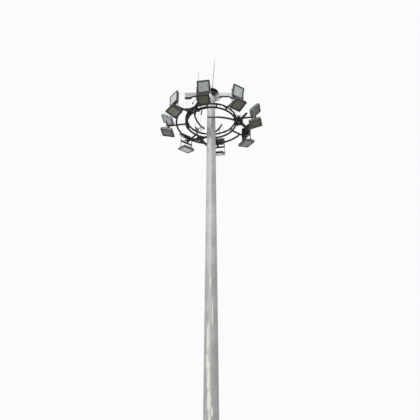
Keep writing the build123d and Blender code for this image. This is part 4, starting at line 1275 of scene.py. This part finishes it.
CAP_LOW, CAP_TOP, CAP_REACH = low("rain_cap")[2], high("rain_cap")[2], high("rain_cap")[0]
rim_bead = tube(circle((0, 0, CAP_LOW + 0.004), UP, CAP_REACH - 0.001, 120), 0.0035, 8, closed=True)
liner = lathe([(CAP_REACH - 0.008, 0.0010), (CAP_REACH - 0.008, 0.005)], (0, 0, CAP_LOW), UP, 64)
piece("rain_cap_liner", [rim_bead, liner], CAP_BLACK, "mast")

# Painted shade: a black hood on the hub's front, in its top 170 mm under the rain cap, stands for the shade under
# the cap.
hood_turn = radians(-58)
hood_rows = np.stack([around(hood_turn), UP, outward(hood_turn)])
hood_at = polar(HUB_REACH + 0.030, hood_turn, ARM_TOP - 0.085)
hood_parts = [
    slab(hood_at, hood_rows, HOOD, 0.055, 0.020),
    slab(hood_at - outward(hood_turn) * 0.028, hood_rows, HOOD_RIM, 0.05, 0.002),
    lathe(HOOD_GLAND, hood_at - UP * 0.078, -UP, 14),
]
piece("black_hood_for_cap_shade", hood_parts, CAP_BLACK, "mast")

# The two rods: lean in degrees, radius, and the radius and length of the socket each stands in.
RODS = {"lightning_rod": (3.8, 0.013, 0.026, 0.070), "side_rod": (5.5, 0.010, 0.020, 0.130)}
cap_bolts = [nut(polar(0.048, step * pi / 2 + pi / 4, CAP_TOP - 0.0005), UP, 0.007, 0.5) for step in range(4)]
for node, (degrees, radius, socket, socket_top) in RODS.items():
    points = points_of(node)
    base = low(node)[2]
    foot = np.array([points[points[:, 2] < base + 0.03][:, 0].mean(), 0.0, base])
    lean = radians(degrees)
    rod_axis = np.array([sin(lean), 0, cos(lean)])
    cap_bolts.append(nut(foot + rod_axis * socket_top, rod_axis, radius * 1.55, 0.0))
    for turn in (0, 2 * pi / 3, 4 * pi / 3):
        screw_at = foot + rod_axis * socket_top * 0.55 + outward(turn) * (socket - 0.003)
        cap_bolts.append(nut(screw_at, outward(turn), 0.0052, 0.5))
    top = high(node)[2]
    tip = np.array([foot[0] + (top - base) * tan(lean), 0, top - 0.004])
    point = ((radius * 0.52, -0.045), (radius * 0.52, -0.012), (radius * 0.2, 0.0))
    cap_bolts.append(lathe(point, tip, rod_axis, 14))
clamp = np.array([foot[0], 0.0, ARM_TOP + 0.0015])      # under the side rod, on the left arm
cap_bolts.append(slab(clamp, np.eye(3), (0.09, 0.066, 0.004), 0.01, 0.001))
cap_bolts += [nut(clamp + [x, y, 0.002], UP, 0.0062, 0.5) for x in (-0.034, 0.034) for y in (-0.022, 0.022)]
piece("cap_and_rod_fixings", cap_bolts, BOLT_ZINC, "mast")


# ================================================================ mast and base
SIDES = 16              # of the mast's outline
FLANGE_TOP = high("base_flange")[2]
GUSSET_TOP = high("base_gussets")[2]
SLIP = low("mast_upper")[2]
GUSSET_RUN = 0.112      # from the mast's face out to a gusset's toe
# Lathed profiles: (radius, distance along the axis).
ANCHOR_WASHER = ((0.036, 0), (0.036, 0.005), (0.034, 0.006))
ANCHOR_NUT = ((0.0315, 0.006), (0.0325, 0.008), (0.0325, 0.033), (0.029, 0.036))
LOCK_NUT = ((0.0315, 0.0365), (0.0325, 0.038), (0.0325, 0.052), (0.029, 0.055))


def reach(node, direction, height):
    """How far a tapered node goes along a direction at a height.

    The reach at its lowest rim and at its highest rim, and a straight line between the two.
    """
    points = points_of(node)
    along = points @ np.asarray(direction, float)
    rims = low(node)[2], high(node)[2]
    ends = [along[np.abs(points[:, 2] - rim) < 0.012].max() for rim in rims]
    return float(np.interp(height, rims, ends))


def rim_path(flat_reach, height):
    """A path round the mast's sixteen-sided outline, at the reach of its flats.

    The corners stand at the reach over cos(half a side's angle), and each point lies a share of the
    way from one corner to the next.
    """
    turn = np.arange(SIDES) * 2 * pi / SIDES
    corner_reach = flat_reach / cos(pi / SIDES)
    corners = np.stack([corner_reach * np.cos(turn), corner_reach * np.sin(turn), np.full(SIDES, height)], 1)
    share = (np.arange(12) / 12)[:, None]
    return (corners[:, None] + share * (np.roll(corners, -1, axis=0) - corners)[:, None]).reshape(-1, 3)


seams = []
for node, turn, bottom, top in (("mast_lower", radians(101.25), GUSSET_TOP + 0.03, SLIP),
                                ("mast_upper", radians(78.75), SLIP + 0.01, HUB_LOW - 0.01)):
    levels = np.linspace(bottom, top, 900)
    run = np.interp(levels, (bottom, top), [reach(node, outward(turn), level) for level in (bottom, top)])
    seams.append(bead(run[:, None] * outward(turn) + levels[:, None] * UP, 0.0042, lumps=9.0))
flat_turn = pi / SIDES
slip_reach = reach("mast_upper", outward(flat_turn), SLIP)
foot_reach = reach("mast_lower", outward(flat_turn), FLANGE_TOP)
seams.append(bead(rim_path(slip_reach, SLIP + 0.002), 0.0035, closed=True, lumps=14.0))
seams.append(bead(rim_path(foot_reach, FLANGE_TOP + 0.001), 0.008, closed=True, lumps=40.0))
for step in range(SIDES):
    rows = rows_at(flat_turn + step * 2 * pi / SIDES)
    for beside in (-0.007, 0.007):
        foot = np.array([foot_reach + 0.004, beside, FLANGE_TOP + 0.002]) @ rows
        toe = np.array([foot_reach + GUSSET_RUN, beside, FLANGE_TOP + 0.002]) @ rows
        head = np.array([foot_reach - 0.001, beside, GUSSET_TOP - 0.004]) @ rows
        seams += [bead(np.linspace(foot, end, 24), 0.004) for end in (toe, head)]
piece("weld_beads", seams, WELD, "mast", 60)

holes = next(mount for mount in frame["record"]["mounts"] if mount["name"] == "anchor_holes")["dims"]
bolt_reach, bolt_count = holes["pcd_mm"] / 2000, holes["count"]
thread_at = np.append((np.linspace(0.055, 0.105, 26)[:, None] + [0, 0.001]).ravel(), 0.108)
thread_radius = np.append(np.tile([0.0180, 0.0166], 26), 0.013)
stud = np.stack([thread_radius, thread_at], 1)
anchors, anchor_washers = [], []
for step in range(bolt_count):
    seat = polar(bolt_reach, step * 2 * pi / bolt_count, FLANGE_TOP)
    anchor_washers.append(lathe(ANCHOR_WASHER, seat, UP, 28))
    anchors += [lathe(ANCHOR_NUT, seat, UP, 6), lathe(LOCK_NUT, seat, UP, 6), lathe(stud, seat, UP, 18)]
piece("anchor_nuts_and_studs", anchors, BOLT_ZINC, "mast", 30)
piece("anchor_washers", anchor_washers, LUG_ZINC, "mast")


# ================================================================ door fittings and earth lug
DOOR_MIDDLE = middle("service_door")[2]
HINGE_RISES, LOCK_RISES = (-0.22, 0.22), (-0.20, 0.0, 0.20)     # from the door's middle height
EARTH_HEIGHT = 0.40
HINGE_KNUCKLES = (((0.008, -0.045), (0.008, -0.001)), ((0.008, 0.001), (0.008, 0.045)))
LOCK_RING = ((0.017, 0), (0.017, 0.003), (0.014, 0.006), (0.0085, 0.006), (0.0085, 0.002))
LOCK_KEY = ((0.0055, 0.001), (0.0055, 0.0052))


def on_door(rows, beside, rise):
    """A place on the door's face: its distance round the mast, and its height from the door's middle."""
    height = DOOR_MIDDLE + rise
    return np.array([reach("service_door", rows[0], height) + 0.0005, beside, height]) @ rows


door_parts = []
hinge_rows, lock_rows = rows_at(radians(-101.25)), rows_at(radians(-78.75))
for rise in HINGE_RISES:
    away, across, _ = hinge_rows
    seat = on_door(hinge_rows, -0.030, rise)
    door_parts += [lathe(knuckle, seat + away * 0.006, UP, 18) for knuckle in HINGE_KNUCKLES]
    leaf_rows = np.stack([across, UP, away])
    door_parts.append(slab(seat + across * 0.017, leaf_rows, (0.034, 0.08, 0.004), 0.004, 0.001))
for rise in LOCK_RISES:
    seat = on_door(lock_rows, 0.020, rise)
    door_parts.append(lathe(LOCK_RING, seat, lock_rows[0], 28))
    door_parts.append(lathe(LOCK_KEY, seat, lock_rows[0], 3))
piece("door_hinges_and_locks", door_parts, LUG_ZINC, "mast")

away, across, _ = rows_at(radians(-168.75))
earth = away * (reach("mast_lower", away, EARTH_HEIGHT) + 0.004) + UP * EARTH_HEIGHT
earth_parts = [slab(earth + away * 0.014, np.stack([away, UP, across]), (0.040, 0.050, 0.008), 0.008, 0.001),
               nut(earth + away * 0.018 + across * 0.004, across, 0.010, 0.8),
               nut(earth + away * 0.018 - across * 0.004, -across, 0.010, 0.1)]
piece("earth_lug", earth_parts, BOLT_ZINC, "mast")


# ================================================================ camera, light and floor
# The camera stands in front of the mast at eye height, and looks up at the lamps.
EYE = (0.0, -21.93, 1.6)
LOOKS_UP = radians(32.3)
camera_data = bpy.data.cameras.new("camera")
camera_data.sensor_width = 36.0
camera_data.lens = 72.86
camera_data.shift_x = -0.00273809524    # a share of the picture's width
camera = bpy.data.objects.new("camera", camera_data)
camera.location = EYE
camera.rotation_euler = (pi / 2 + LOOKS_UP, 0.0, 0.0)
bpy.context.scene.collection.objects.link(camera)
bpy.context.scene.camera = camera

sun_data = bpy.data.lights.new("sun", "SUN")
sun_data.energy = 1.32
sun_data.angle = radians(12)
sun_data.color = (1.0, 0.985, 0.96)
sun = bpy.data.objects.new("sun", sun_data)
sun.rotation_euler = (radians(55), 0.0, radians(-36))
bpy.context.scene.collection.objects.link(sun)

# The object is lit by a soft dome, darker below the horizon. What the camera, metal and glass see
# behind it is an even, nearly white background.
GROUND_LIGHT, SKY_LIGHT = (0.26, 0.258, 0.235, 1), (0.94, 0.96, 0.98, 1)
BACKGROUND = (0.96, 0.965, 0.97, 1)
HORIZON = (-0.20, 0.10)     # the rises between which the one light turns into the other
world = bpy.data.worlds.new("studio")
bpy.context.scene.world = world
world.use_nodes = True
nodes, links = world.node_tree.nodes, world.node_tree.links
nodes.clear()
direction = nodes.new("ShaderNodeTexCoord").outputs["Generated"]
split = nodes.new("ShaderNodeSeparateXYZ")
links.new(direction, split.inputs[0])
height = nodes.new("ShaderNodeMapRange")
links.new(split.outputs[2], height.inputs[0])
for socket, value in zip(height.inputs[1:5], (*HORIZON, 0.0, 1.0)):
    socket.default_value = value
dome = nodes.new("ShaderNodeMix")
dome.data_type = "RGBA"
links.new(height.outputs[0], dome.inputs[0])
dome.inputs[6].default_value = GROUND_LIGHT
dome.inputs[7].default_value = SKY_LIGHT
lit = nodes.new("ShaderNodeBackground")
links.new(dome.outputs[2], lit.inputs[0])
seen = nodes.new("ShaderNodeBackground")
seen.inputs[0].default_value = BACKGROUND
rays = nodes.new("ShaderNodeLightPath")
shown = rays.outputs["Is Camera Ray"]
for kind in ("Is Glossy Ray", "Is Transmission Ray"):
    either = nodes.new("ShaderNodeMath")
    either.operation = "MAXIMUM"
    links.new(shown, either.inputs[0])
    links.new(rays.outputs[kind], either.inputs[1])
    shown = either.outputs[0]
chosen = nodes.new("ShaderNodeMixShader")
for socket, output in zip(chosen.inputs, (shown, lit.outputs[0], seen.outputs[0])):
    links.new(output, socket)
sky = nodes.new("ShaderNodeOutputWorld")
links.new(chosen.outputs[0], sky.inputs[0])

floor_finish = plain("pale studio floor", (214, 213, 208), 0.8, 0.0, 40, 0.02)
floor = piece("studio_floor", [lathe([(6.0, -0.03), (6.0, -0.002)], (0, 0, 0), UP, 96)], floor_finish, None)

bpy.context.scene.view_settings.view_transform = "Standard"
